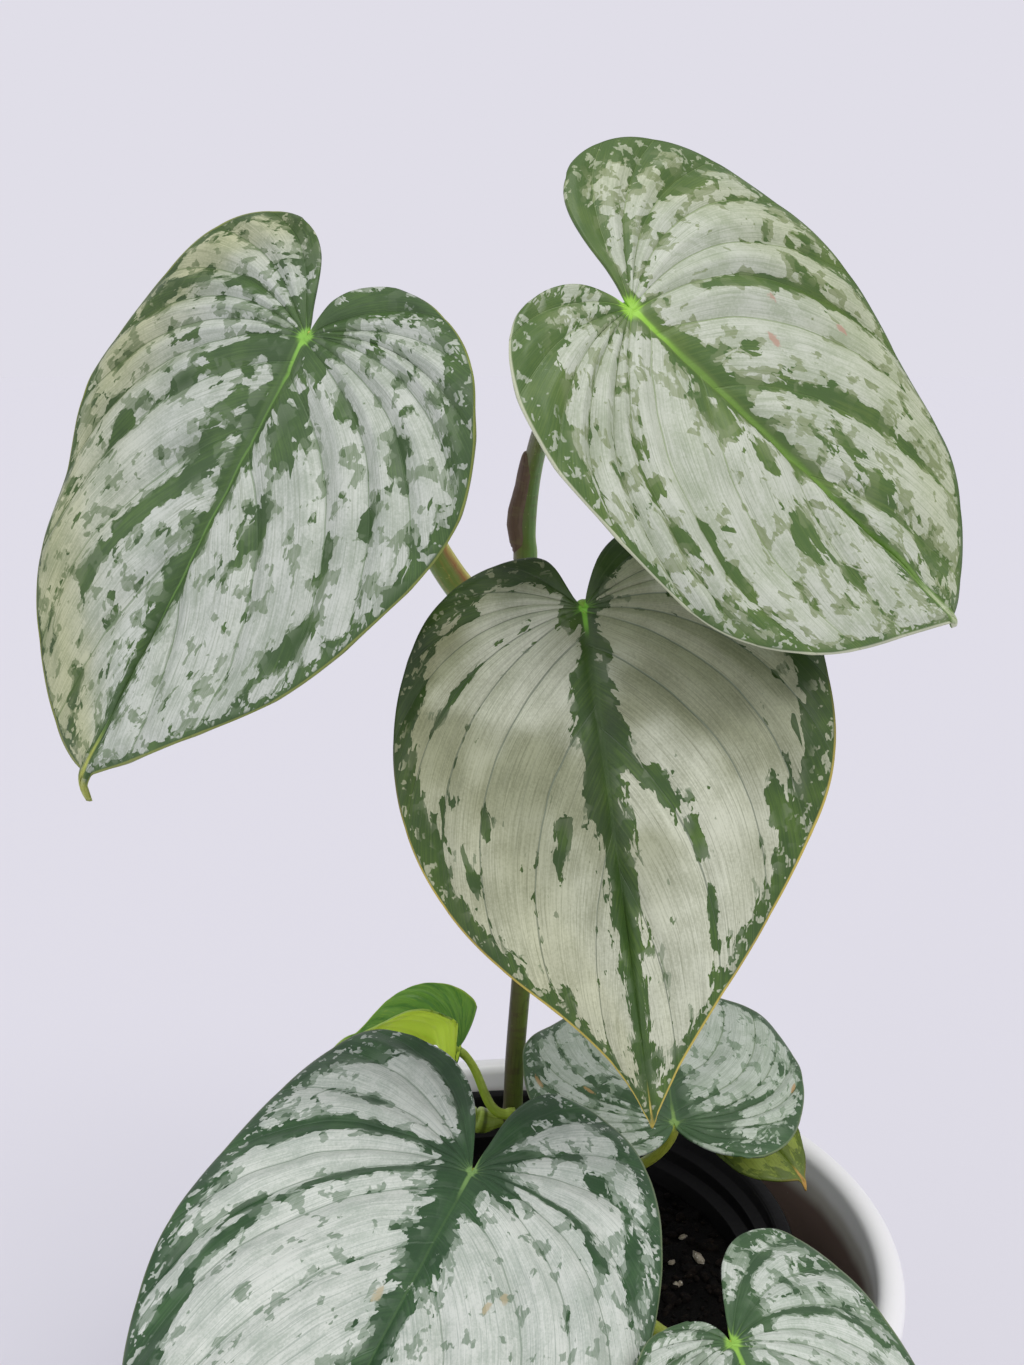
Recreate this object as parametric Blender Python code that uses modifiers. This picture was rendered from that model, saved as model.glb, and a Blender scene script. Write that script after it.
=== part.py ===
"""A potted heart-leaf philodendron: eight leaves on one stem, in a nursery pot inside a white cachepot.

The origin is the middle of the cachepot's flat foot. The photographed side faces -Y. Sizes are millimetres,
turned into metres where a shape is made. Heights of leaves and stalks are measured from the cachepot's rim.
"""

import math
import random
from dataclasses import dataclass

import bmesh
import bpy
from mathutils import Euler, Vector

MM = 0.001
SEAT_GAP = 0.3
MERGE_M = 0.00002

# White glazed cachepot
POT_RADIUS = 76.0
POT_HEIGHT = 126.0
POT_WALL = 5.5
POT_FOOT_RADIUS = 64.0
POT_FOOT_ROUND = 7.0
POT_FLOOR = 8.0
POT_SHOULDER_DROP = 22.0
POT_SHOULDER_INSET = 1.0
POT_STEPS = 56

# Thin black nursery pot, set down a little off centre
INNER_CENTRE = Vector((-3.4, 8.0, 0.0))
INNER_RIM_RADIUS = 60.0
INNER_RIM_Z = POT_HEIGHT - 5.5
INNER_LIP_WIDTH = 3.3
INNER_LIP_DROP = 14.0
INNER_FOOT_RADIUS = 42.0
INNER_WALL = 1.6
INNER_FLOOR = 1.8
INNER_CHAMFER = 0.8
INNER_FOOT_RISE = 3.0
INNER_FOOT_INSET = 1.0
RIM_STAIRS = ((0.0, 0.8), (0.8, 3.2), (3.0, 4.0), (3.4, 7.0), (6.2, 7.8))
DRAIN_HOLES = 6
DRAIN_SIDES = 12
DRAIN_RADIUS = 4.0
DRAIN_RING = 27.0

# Soil, with a hole for the stem
SOIL_TOP = POT_HEIGHT - 17.4
SOIL_BUMP = 1.1
SOIL_RINGS = 7
SOIL_SPOKES = 28
SOIL_SEED = 11
STEM_HOLE_DEPTH = 16.0

# Climbing stem: places along it, bottom to top, with heights over the soil, and how stalks meet it
STEM_RADIUS = 2.2
STEM_ROUTE = ((-3.7, 31.5, 0.0), (-3.4, 31.9, 34.0), (-1.2, 30.5, 70.0), (-1.7, 26.5, 118.0),
              (-1.1, 21.5, 156.4))
STEM_TOP_Z = SOIL_TOP + STEM_ROUTE[-1][2]
STEM_NODES = (12.0, 24.0, 66.0, 108.0, 135.0)
NODE_SWELLING = 0.5
NODE_LENGTH = 3.0
STEM_STEPS = 44
STALK_STEPS = 14
STALK_TILT_ROOM = 0.25
SHARE_STEP = 0.01
SEAT_ROOM = 0.18
TOP_GAP = 0.45
TUBE_SIDES_LEVEL = 2

# Brown sheath that clings to the upper leaf stalk, and the bud at the stem's foot
SHEATH_FROM = 0.0
SHEATH_TO = 0.34
SHEATH_HEADING = 190.0
SHEATH_RADII = (0.45, 0.7, 1.0, 0.95, 0.7, 0.5, 0.45, 0.4, 0.35)
SHOOT_FROM = POT_HEIGHT + 6.8
SHOOT_HEADING = 190.0
SHOOT_RADII = (1.5, 2.1, 2.7, 3.0, 3.0, 2.7, 2.2, 1.6, 0.9)

# Leaf blades
BLADE_THICKNESS = 0.8
BLADE_ROWS = 20
BLADE_COLUMNS = 4
SMALL_BLADE = 50.0
SHOULDER_SHARE = 0.40
SHOULDER_CORNER = 0.56
DRIP_TIP_FROM = 0.94
DRIP_TIP_HALF = 0.9
DRIP_TIP_FALL = 0.8
FAN_SHARE = 0.52
VEIN_BOW = 0.17
BOW_RISE = 0.35
BOW_FALL = 0.3
RIB_CURVE = 2.4
SINUS_HOLD = 0.34
SINUS_REACH = 0.55
SINUS_DROP = 0.75
SINUS_SHARE = 0.3
RIPPLE_OFFSET = 0.3
LOBE_CURVE = 1.5

# Pouch that hangs beside the petiole point of a half that is still unrolling
HANG_AT = 2.0
HANG_REACH = 3.2
HANG_WIDTH = 5.2


@dataclass(frozen=True)
class Half:
    """One half of a blade's outline, measured from the petiole point in the plane of the blade."""

    width: float
    widest_at: float
    lobe_across: float
    lobe_rise: float
    sinus_angle: float
    flank: float
    slim: float
    tuck: float
    fold: float = 6.0
    hang: float = 0.0


@dataclass(frozen=True)
class Bend:
    """How the flat outline leaves its plane."""

    curl: float
    droop: float
    lobe_lift: float
    wave: float
    waves: float
    phase: float


@dataclass(frozen=True)
class Leaf:
    """One leaf: where its petiole meets the blade (its height from the rim), its turn and its outline."""

    name: str
    joint: tuple
    azimuth: float
    pitch: float
    twist: float
    length: float
    drip: float
    plus: Half
    minus: Half
    bend: Bend

    def turned(self):
        """The turn from the blade's own axes (X to its tip, Z out of its upper face) to the world's."""
        angles = (math.radians(self.twist), -math.radians(self.pitch), math.radians(self.azimuth))
        return Euler(angles, "XYZ")

    def place(self):
        """The petiole point in the part's own frame."""
        return Vector(self.joint) + Vector((0, 0, POT_HEIGHT))

    def behind(self, depth, lean=0.0):
        """The point this far behind the petiole point, under the blade, and this far back from the tip."""
        return self.place() - self.turned().to_matrix() @ Vector((lean, 0, depth))


LEAVES = (
    Leaf("blade_upper_left", (-38.7, -16.5, 181), -164, -60, -42, 84, 5,
         Half(43, 17.5, 14, 14, 11, 0.39, 0.50, 0.26),
         Half(41.5, 22, 17, 18.5, 14, 0.25, 0.64, 0.05), Bend(6, 3, -3, 1.0, 3.5, 0.1)),
    Leaf("blade_upper_right", (14.8, -33.5, 185), 7, -39.5, 58, 77.5, 1.5,
         Half(39.5, 14, 16, 20.5, 21, 0.52, 0.55, 0.05),
         Half(34.5, 25.5, 13.5, 13.5, 4, 0.60, 0.60, 0.32), Bend(5, 5, -3, 1.0, 3.2, 0.55)),
    Leaf("blade_middle", (8.3, -26.5, 136.5), -70, -68, 19, 85, 2,
         Half(39.5, 20, 14, 13, 20, 0.38, 0.29, 0.31, 9),
         Half(35, 25, 8.5, 10, 43, 0.54, 0.19, 0.35, 9), Bend(6, 6, -3, 1.2, 4, 0.8)),
    Leaf("blade_lower_left", (-11.2, -29.5, 32), -113, -14, -6, 83.5, 5,
         Half(40.5, 24.5, 9, 24.5, 4, 0.45, 0.35, 0.30),
         Half(46.5, 20.5, 32, 29.5, 19, 0.48, 0.69, 0.21), Bend(7, 7, -2, 1.0, 3, 0.3)),
    Leaf("blade_back_right", (29.3, -1.5, 25.5), 89, 12, 3, 54.5, 3,
         Half(31, 19.5, 12, 10.5, 13, 0.34, 0.28, 0.37, 8),
         Half(29.5, 22, 14, 8.5, 5, 0.48, 0.50, 0.26, 8), Bend(6, 4, -1, 1.0, 3, 0.6)),
    Leaf("blade_lower_right", (31.8, -63.5, 22.5), -72, -15, -7, 60, 4,
         Half(32, 17.5, 19, 21.5, 10, 0.45, 0.35, 0.30),
         Half(24, 24, 7, 5, 17, 0.45, 0.35, 0.30), Bend(5, 4, -1, 1.0, 3, 0.2)),
    Leaf("blade_young", (-15.2, 28.5, 27.5), 184, 9, 0, 24, 5,
         Half(7.5, 9, 4, -2, 30, 0.50, 0.40, 0.30, 55, 8),
         Half(7.5, 9, 5, 2.6, 50, 0.50, 0.40, 0.30, 55), Bend(0, 2, 0, 0.4, 2, 0)),
    Leaf("blade_hidden", (38, 38, 22), -52, -26, 10, 38, 2,
         Half(10, 14, 5, 4, 20, 0.55, 0.62, 0.20, 5),
         Half(13, 17, 5, 4, 20, 0.55, 0.78, 0.12, 5), Bend(2, 1, 0, 0.5, 3, 0)),
)


@dataclass(frozen=True)
class Petiole:
    """A leaf stalk: how far over the rim it leaves the stem, its compass heading there, and its radii.

    The one that starts at the stem's top carries on along the stem before it turns to its leaf. A swing
    turns the way that a stalk leaves from its heading, and a lean sets back the way it meets its blade.
    """

    name: str
    leaf: str
    over_rim: float
    heading: float
    thick: float
    thin: float
    out: float
    reach: float
    swing: float = 0.0
    lean: float = 0.0

    def leaves_at(self):
        return POT_HEIGHT + self.over_rim

    def from_top(self):
        return self.leaves_at() >= STEM_TOP_Z

    def radius(self, share):
        return self.thick + (self.thin - self.thick) * share


PETIOLES = (
    Petiole("petiole_upper_left", "blade_upper_left", 126, 200, 3.5, 1.8, 15, 22),
    Petiole("petiole_upper_right", "blade_upper_right", 139, 0, 2.0, 1.7, 24, 24),
    Petiole("petiole_middle", "blade_middle", 112, -60, 2.2, 1.6, 12, 16),
    Petiole("petiole_lower_left", "blade_lower_left", -5, -100, 2.1, 1.7, 26, 16),
    Petiole("petiole_back_right", "blade_back_right", -7, -25, 1.3, 1.1, 14, 12),
    Petiole("petiole_lower_right", "blade_lower_right", 0, -80, 1.4, 1.2, 40, 12),
    Petiole("petiole_young", "blade_young", 10.3, 255, 1.15, 0.9, 6.5, 4, -60, 6.5),
    Petiole("petiole_hidden", "blade_hidden", -12, -45, 1.2, 1.0, 10, 6),
)

LEAF_GREEN = (0.33, 0.44, 0.30)
YOUNG_GREEN = (0.42, 0.55, 0.10)
STALK_GREEN = (0.38, 0.45, 0.12)
STEM_OLIVE = (0.22, 0.24, 0.08)
SHEATH_BROWN = (0.20, 0.12, 0.08)


def finish(name, colour, roughness):
    """A Principled material of this colour."""
    material = bpy.data.materials.new(name)
    material.use_nodes = True
    shader = material.node_tree.nodes["Principled BSDF"]
    shader.inputs["Base Color"].default_value = (*colour, 1.0)
    shader.inputs["Roughness"].default_value = roughness
    material.diffuse_color = (*colour, 1.0)
    return material


def clear_scene():
    for old in list(bpy.data.objects):
        bpy.data.objects.remove(old, do_unlink=True)


def new_collection(name):
    made = bpy.data.collections.new(name)
    bpy.context.scene.collection.children.link(made)
    return made


def mesh_object(name, mesh, material, collection):
    made = bpy.data.objects.new(name, mesh)
    made.data.materials.append(material)
    collection.objects.link(made)
    return made


def cubic(a, b, c, d, share):
    """The point at this share of a cubic Bezier curve."""
    rest = 1.0 - share
    return a * rest**3 + b * (3 * rest * rest * share) + c * (3 * rest * share * share) + d * share**3


def clamp(value, low=0.0, high=1.0):
    return max(low, min(high, value))


def turned_object(name, profile, steps, material, collection):
    """A closed turned solid. The profile starts and ends on the axis, and runs down its outer side."""
    mesh = bpy.data.meshes.new(name)
    edges = [(i, i + 1) for i in range(len(profile) - 1)]
    mesh.from_pydata([(r * MM, 0.0, z * MM) for r, z in profile], edges, [])
    made = mesh_object(name, mesh, material, collection)
    screw = made.modifiers.new("turn", "SCREW")
    screw.steps = steps
    screw.render_steps = steps
    screw.use_merge_vertices = True
    screw.merge_threshold = MERGE_M
    screw.use_smooth_shade = True
    return made


def outer_pot(material, collection):
    """The cachepot: a gently tapered shell with a rounded rim, standing on the whole of its flat foot."""
    rim = POT_WALL / 2
    inner_top = POT_RADIUS - POT_WALL
    inner_foot = POT_FOOT_RADIUS - POT_WALL
    profile = [(0.0, POT_FLOOR)]
    for step in range(4):
        angle = math.radians(90 * step / 3)
        profile.append((inner_foot - POT_FOOT_ROUND * (1 - math.sin(angle)),
                        POT_FLOOR + POT_FOOT_ROUND * (1 - math.cos(angle))))
    for step in range(5):
        angle = math.radians(180 - 45 * step)
        profile.append((inner_top + rim + rim * math.cos(angle), POT_HEIGHT - rim + rim * math.sin(angle)))
    profile.append((POT_RADIUS - POT_SHOULDER_INSET, POT_HEIGHT - POT_SHOULDER_DROP))
    for step in range(4):
        angle = math.radians(-90 * step / 3)
        profile.append((POT_FOOT_RADIUS - POT_FOOT_ROUND * (1 - math.cos(angle)),
                        POT_FOOT_ROUND * (1 + math.sin(angle))))
    profile.append((0.0, 0.0))
    return turned_object("outer_pot", profile, POT_STEPS, material, collection)


def inner_pot_stairs():
    """The nursery pot's inner side from its lip down: radius and height of each step that the rim shows."""
    lip = INNER_RIM_RADIUS - INNER_LIP_WIDTH
    return [(lip - inset, INNER_RIM_Z - drop) for inset, drop in RIM_STAIRS]


def inner_wall_radius(z):
    """Inner radius of the nursery pot's plain wall at this height, below the steps of its rim."""
    floor = POT_FLOOR + SEAT_GAP + INNER_FLOOR
    top_radius, top_z = inner_pot_stairs()[-1]
    foot = INNER_FOOT_RADIUS - INNER_WALL
    return foot + (top_radius - foot) * clamp((z - floor) / (top_z - floor))


def nursery_pot(material, collection, cutters):
    """The thin pot in the cachepot, with a stepped rim and drain holes."""
    base = POT_FLOOR + SEAT_GAP
    profile = [(0.0, base + INNER_FLOOR), (inner_wall_radius(0), base + INNER_FLOOR)]
    profile += reversed(inner_pot_stairs())
    rim = INNER_RIM_RADIUS
    profile += [(rim - INNER_LIP_WIDTH + INNER_CHAMFER, INNER_RIM_Z), (rim - INNER_CHAMFER, INNER_RIM_Z),
                (rim, INNER_RIM_Z - INNER_CHAMFER)]
    skirt_z = INNER_RIM_Z - INNER_LIP_DROP
    shoulder = inner_wall_radius(skirt_z) + INNER_WALL
    profile += [(rim - INNER_CHAMFER, skirt_z), (shoulder, skirt_z),
                (INNER_FOOT_RADIUS + INNER_FOOT_INSET, base + INNER_FOOT_RISE),
                (INNER_FOOT_RADIUS - INNER_FOOT_INSET, base), (0.0, base)]
    pot = turned_object("nursery_pot", profile, POT_STEPS, material, collection)
    pot.location = INNER_CENTRE * MM
    for hole in range(DRAIN_HOLES):
        angle = math.tau * (hole + 0.5) / DRAIN_HOLES
        mesh = bpy.data.meshes.new(f"drain_cutter_{hole + 1}")
        shape = bmesh.new()
        bmesh.ops.create_cone(shape, cap_ends=True, segments=DRAIN_SIDES, radius1=DRAIN_RADIUS * MM,
                              radius2=DRAIN_RADIUS * MM, depth=4 * INNER_FLOOR * MM)
        shape.to_mesh(mesh)
        shape.free()
        cutter = bpy.data.objects.new(mesh.name, mesh)
        place = Vector((DRAIN_RING * math.cos(angle), DRAIN_RING * math.sin(angle), base + INNER_FLOOR / 2))
        cutter.location = (INNER_CENTRE + place) * MM
        cutters.objects.link(cutter)
        hide_cutter(cutter)
        cut(pot, cutter, f"drain hole {hole + 1}")
    return pot


def hide_cutter(made):
    """Keeps a helper out of the model: it only shapes another piece."""
    made.hide_render = True
    made.display_type = "WIRE"


def cut(target, cutter, name):
    boolean = target.modifiers.new(name, "BOOLEAN")
    boolean.operation = "DIFFERENCE"
    boolean.object = cutter


def soil(material, collection, cutters):
    """The soil plug: the nursery pot's inside, less a gap, with a crumbly top and the stem's hole."""
    bottom = POT_FLOOR + SEAT_GAP + INNER_FLOOR + SEAT_GAP
    draw = random.Random(SOIL_SEED)
    shape = bmesh.new()
    rings = []
    top_radius = inner_wall_radius(SOIL_TOP) - SEAT_GAP
    for ring in range(1, SOIL_RINGS + 1):
        radius = top_radius * ring / SOIL_RINGS
        made = bmesh.ops.create_circle(shape, segments=SOIL_SPOKES, radius=radius * MM)["verts"]
        for vert in made:
            lift = 0.0 if ring == SOIL_RINGS else SOIL_BUMP * (draw.random() * 2 - 1)
            vert.co.z = (SOIL_TOP + lift) * MM
        rings.append(made)
    foot_radius = (inner_wall_radius(bottom) - SEAT_GAP) * MM
    base = bmesh.ops.create_circle(shape, segments=SOIL_SPOKES, radius=foot_radius)["verts"]
    for vert in base:
        vert.co.z = bottom * MM
    rings.append(base)
    loops = []
    for verts in rings:
        members = set(verts)
        near = {edge for vert in verts for edge in vert.link_edges}
        loops.append([edge for edge in near if set(edge.verts) <= members])
    bmesh.ops.contextual_create(shape, geom=rings[0])
    bmesh.ops.contextual_create(shape, geom=rings[-1])
    for first, second in zip(loops, loops[1:]):
        bmesh.ops.bridge_loops(shape, edges=first + second)
    bmesh.ops.triangulate(shape, faces=shape.faces)
    bmesh.ops.recalc_face_normals(shape, faces=shape.faces)
    mesh = bpy.data.meshes.new("soil")
    shape.to_mesh(mesh)
    shape.free()
    made = mesh_object("soil", mesh, material, collection)
    made.location = INNER_CENTRE * MM
    ends = (SOIL_TOP - STEM_HOLE_DEPTH, SOIL_TOP + 4 * SOIL_BUMP)
    hole = tube("stem_hole_cutter", [stem_point(z) for z in ends],
                [STEM_RADIUS + NODE_SWELLING + SEAT_GAP] * 2, material, cutters)
    hide_cutter(hole)
    cut(made, hole, "hole for the stem")
    return made


def stem_point(z):
    """The main stem's axis at this height, on smooth spans between the places of its route."""
    heights = [SOIL_TOP + place[2] for place in STEM_ROUTE]
    index = 0
    while index < len(heights) - 2 and z > heights[index + 1]:
        index += 1
    before = STEM_ROUTE[max(index - 1, 0)]
    start, end = STEM_ROUTE[index], STEM_ROUTE[index + 1]
    after = STEM_ROUTE[min(index + 2, len(STEM_ROUTE) - 1)]
    share = clamp((z - heights[index]) / (heights[index + 1] - heights[index]))
    place = []
    for axis in range(2):
        handle_in = start[axis] + (end[axis] - before[axis]) / 6
        handle_out = end[axis] - (after[axis] - start[axis]) / 6
        place.append(cubic(start[axis], handle_in, handle_out, end[axis], share))
    return Vector((place[0], place[1], z))


def tube(name, points, radii, material, collection):
    """A round stalk along these points, closed at both ends, as a mesh."""
    curve = bpy.data.curves.new(name, "CURVE")
    curve.dimensions = "3D"
    curve.bevel_depth = MM
    curve.bevel_resolution = TUBE_SIDES_LEVEL
    curve.use_fill_caps = True
    spline = curve.splines.new("POLY")
    spline.points.add(len(points) - 1)
    for point, place, radius in zip(spline.points, points, radii):
        point.co = (*(place * MM), 1.0)
        point.radius = radius
    guide = bpy.data.objects.new(name + "_guide", curve)
    collection.objects.link(guide)
    graph = bpy.context.evaluated_depsgraph_get()
    mesh = bpy.data.meshes.new_from_object(guide.evaluated_get(graph))
    mesh.name = name
    mesh.materials.clear()
    bpy.data.objects.remove(guide, do_unlink=True)
    shape = bmesh.new()
    shape.from_mesh(mesh)
    bmesh.ops.remove_doubles(shape, verts=shape.verts, dist=MERGE_M / 2)
    bmesh.ops.triangulate(shape, faces=shape.faces)
    bmesh.ops.recalc_face_normals(shape, faces=shape.faces)
    shape.to_mesh(mesh)
    shape.free()
    mesh.shade_smooth()
    mesh.set_sharp_from_angle(angle=math.radians(50))
    return mesh_object(name, mesh, material, collection)


def stem_swelling(z):
    """How much thicker the stem is at this height, near one of its nodes."""
    over = [(z - SOIL_TOP - node) / NODE_LENGTH for node in STEM_NODES]
    return NODE_SWELLING * max(math.exp(-(share**2)) for share in over)


def main_stem(material, collection):
    foot = SOIL_TOP - STEM_HOLE_DEPTH + SEAT_GAP
    heights = [foot + (STEM_TOP_Z - foot) * step / STEM_STEPS for step in range(STEM_STEPS + 1)]
    radii = [STEM_RADIUS + stem_swelling(z) for z in heights]
    return tube("main_stem", [stem_point(z) for z in heights], radii, material, collection)


def sheath(material, collection):
    """The dry brown sheath that clings to one side of the upper leaf stalk, from where the stem ends."""
    stalk = next(stalk for stalk in PETIOLES if stalk.from_top())
    path = petiole_path(stalk)
    points = []
    for step, radius in enumerate(SHEATH_RADII):
        share = SHEATH_FROM + (SHEATH_TO - SHEATH_FROM) * step / (len(SHEATH_RADII) - 1)
        along = (cubic(*path, share + SHARE_STEP) - cubic(*path, share)).normalized()
        off = stalk.radius(share) + SEAT_GAP + radius
        points.append(cubic(*path, share) + square_to(along, SHEATH_HEADING) * off)
    return tube("stem_sheath", points, SHEATH_RADII, material, collection)


def side_shoot(material, collection):
    """The short bent bud at the stem's foot, below the young leaf."""
    start = stem_seat(SHOOT_FROM, SHOOT_HEADING, SHOOT_RADII[0])
    away = stem_side(SHOOT_FROM, SHOOT_HEADING)
    path = (start, start + away * 4, start + away * 7 + Vector((0, 0, 1)),
            start + away * 9 + Vector((0, 0, 4)))
    return tube("side_shoot", curve_points(path, len(SHOOT_RADII) - 1), SHOOT_RADII, material, collection)


def curve_points(path, steps):
    """Points spread along the Bezier curve with these four ends and handles."""
    return [cubic(*path, step / steps) for step in range(steps + 1)]


def stem_seat(z, heading, radius):
    """Where a stalk of this radius starts: just off the stem's skin, on the side that the heading names."""
    off = STEM_RADIUS + stem_swelling(z) + SEAT_GAP + SEAT_ROOM * radius
    return stem_point(z) + stem_side(z, heading) * off


def stem_axis(z):
    """The stem's own direction at this height, upwards."""
    return (stem_point(min(z + 1, STEM_TOP_Z)) - stem_point(z - 1)).normalized()


def square_to(axis, heading):
    """The direction square to this axis that looks along this compass heading."""
    angle = math.radians(heading)
    side = Vector((math.cos(angle), math.sin(angle), 0))
    return (side - axis * side.dot(axis)).normalized()


def stem_side(z, heading):
    """The direction square to the stem at this height that looks along this compass heading."""
    return square_to(stem_axis(z), heading)


def petiole_path(stalk):
    """The ends and handles of a stalk's curve, from the stem to just under its blade."""
    leaf = next(leaf for leaf in LEAVES if leaf.name == stalk.leaf)
    z = stalk.leaves_at()
    if stalk.from_top():
        start = stem_point(STEM_TOP_Z) + stem_axis(STEM_TOP_Z) * TOP_GAP
        away = start + stem_axis(STEM_TOP_Z) * stalk.out
    else:
        room = stalk.thick * abs(math.sin(math.radians(stalk.swing)))
        start = stem_seat(z, stalk.heading, stalk.thick) + stem_side(z, stalk.heading) * room
        away = start + stem_side(z, stalk.heading + stalk.swing) * stalk.out
    below = BLADE_THICKNESS / 2 + SEAT_GAP + STALK_TILT_ROOM
    below += stalk.thin * stalk.lean / math.hypot(stalk.lean, stalk.reach)
    return (start, away, leaf.behind(below + stalk.reach, stalk.lean), leaf.behind(below))


def petiole(stalk, material, collection):
    """A stalk from the stem to the underside of its blade."""
    radii = [stalk.radius(step / STALK_STEPS) for step in range(STALK_STEPS + 1)]
    return tube(stalk.name, curve_points(petiole_path(stalk), STALK_STEPS), radii, material, collection)


def margin_point(half, leaf, share):
    """A point of one half's margin, from its lobe's top (0) round its widest place to the drip tip (1)."""
    lobe, wide = half.lobe_rise, half.widest_at
    length = leaf.length
    if share <= SHOULDER_SHARE:
        return cubic(Vector((-lobe, half.lobe_across)),
                     Vector((-lobe, half.lobe_across + SHOULDER_CORNER * (half.width - half.lobe_across))),
                     Vector((wide - SHOULDER_CORNER * (wide + lobe), half.width)),
                     Vector((wide, half.width)), share / SHOULDER_SHARE)
    down = clamp((share - SHOULDER_SHARE) / (DRIP_TIP_FROM - SHOULDER_SHARE))
    taper = clamp((share - DRIP_TIP_FROM) / (1 - DRIP_TIP_FROM))
    place = cubic(Vector((wide, half.width)),
                  Vector((wide + half.flank * (length - wide), half.width)),
                  Vector((length - half.tuck * (length - wide), half.slim * half.width)),
                  Vector((length, DRIP_TIP_HALF)), down)
    return place + Vector((leaf.drip * taper, -DRIP_TIP_HALF * taper))


def sinus_point(half, share):
    """A point of the lobe's inner edge, from the petiole point (0) to the lobe's top (1)."""
    reach = SINUS_REACH * half.lobe_rise
    neck = max(half.lobe_across - SINUS_DROP * half.lobe_rise, SINUS_SHARE * half.lobe_across)
    angle = math.radians(half.sinus_angle)
    return cubic(Vector((0, 0)),
                 Vector((-reach * math.cos(angle), reach * math.sin(angle))),
                 Vector((-half.lobe_rise, neck)),
                 Vector((-half.lobe_rise, half.lobe_across)), share)


def flat_point(leaf, half, out, along):
    """The flat blade. Out runs along a vein from midrib to margin, along from sinus to tip, each 0 to 1."""
    edge = margin_point(half, leaf, along)
    down = clamp((along - FAN_SHARE) / (1 - FAN_SHARE))
    rib = Vector(((leaf.length + leaf.drip) * down**RIB_CURVE, 0))
    vein = edge - rib
    bow = VEIN_BOW * 4 * out * (1 - out) * clamp(along / BOW_RISE) * clamp((1 - along) / BOW_FALL)
    place = rib + vein * out + Vector((-bow * vein.y, bow * max(vein.x, 0.0)))
    hold = clamp(1 - along / SINUS_HOLD) ** 2
    return place + (sinus_point(half, out) - margin_point(half, leaf, 0) * out) * hold


def bent_point(leaf, half, side, out, along):
    """The blade's middle surface in its own axes, folded, curled, drooped and waved."""
    flat = flat_point(leaf, half, out, along)
    bend = leaf.bend
    across = max(flat.y, 0.0)
    height = math.tan(math.radians(half.fold)) * across - bend.curl * (across / half.width) ** 2
    height -= bend.droop * clamp(flat.x / leaf.length) ** 2
    height += bend.lobe_lift * clamp(-flat.x / half.lobe_rise) ** LOBE_CURVE
    near = math.exp(-(((flat.x - HANG_AT) / HANG_REACH) ** 2))
    height -= half.hang * near * math.sin(math.pi * clamp(across / HANG_WIDTH))
    ripple = math.sin(math.tau * (bend.waves * along + bend.phase + RIPPLE_OFFSET * side))
    height += bend.wave * out**2 * ripple * math.sin(math.pi * along)
    height -= DRIP_TIP_FALL * max(flat.x - leaf.length, 0.0) ** 2 / leaf.drip
    return Vector((flat.x, side * across, height))


def blade(leaf, material, collection):
    """A leaf blade: a grid laid along the veins, thickened alike on both faces."""
    small = leaf.length < SMALL_BLADE
    rows = BLADE_ROWS - 6 if small else BLADE_ROWS
    columns = BLADE_COLUMNS - 1 if small else BLADE_COLUMNS
    shape = bmesh.new()
    bmesh.ops.create_grid(shape, x_segments=2 * columns, y_segments=rows, size=1.0)
    for vert in shape.verts:
        side = 1 if vert.co.x >= 0 else -1
        half = leaf.plus if side > 0 else leaf.minus
        vert.co = bent_point(leaf, half, side, abs(vert.co.x), (vert.co.y + 1) / 2) * MM
    bmesh.ops.remove_doubles(shape, verts=shape.verts, dist=MERGE_M)
    bmesh.ops.triangulate(shape, faces=shape.faces)
    bmesh.ops.recalc_face_normals(shape, faces=shape.faces)
    if sum(face.normal.z * face.calc_area() for face in shape.faces) < 0:
        bmesh.ops.reverse_faces(shape, faces=shape.faces)
    mesh = bpy.data.meshes.new(leaf.name)
    shape.to_mesh(mesh)
    shape.free()
    mesh.shade_smooth()
    made = mesh_object(leaf.name, mesh, material, collection)
    made.location = leaf.place() * MM
    made.rotation_euler = leaf.turned()
    thick = made.modifiers.new("thickness", "SOLIDIFY")
    thick.thickness = BLADE_THICKNESS * MM
    thick.offset = 0.0
    return made


def main():
    clear_scene()
    plant = new_collection("potted_philodendron")
    cutters = new_collection("cutters")
    glaze = finish("white glaze", (0.87, 0.86, 0.87), 0.25)
    black = finish("black plastic", (0.03, 0.025, 0.028), 0.45)
    earth = finish("potting soil", (0.03, 0.024, 0.02), 0.95)
    leaf_green = finish("silver-splashed leaf", LEAF_GREEN, 0.4)
    young_green = finish("young leaf", YOUNG_GREEN, 0.35)
    stalk_green = finish("leaf stalk", STALK_GREEN, 0.45)
    olive = finish("stem", STEM_OLIVE, 0.5)
    brown = finish("dry sheath", SHEATH_BROWN, 0.7)
    outer_pot(glaze, plant)
    nursery_pot(black, plant, cutters)
    soil(earth, plant, cutters)
    main_stem(olive, plant)
    sheath(brown, plant)
    side_shoot(young_green, plant)
    for stalk in PETIOLES:
        petiole(stalk, stalk_green, plant)
    for leaf in LEAVES:
        blade(leaf, young_green if leaf.name == "blade_young" else leaf_green, plant)


main()
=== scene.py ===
"""A potted heart-leaf philodendron with silver-splashed leaves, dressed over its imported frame.

Sizes are metres in the frame's own axes: +Z up, -Y towards the photographed side, and the origin in the middle
of the cachepot's foot. Tables that come from the plant's source keep its millimetres, and MM turns them.
"""

import logging
import math
import random
from dataclasses import dataclass, field
from enum import Enum
from typing import Dict, List, Optional, Sequence, Tuple, TypeVar, Union

import bmesh
import bpy
from mathutils import Euler, Matrix, Vector, noise

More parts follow.
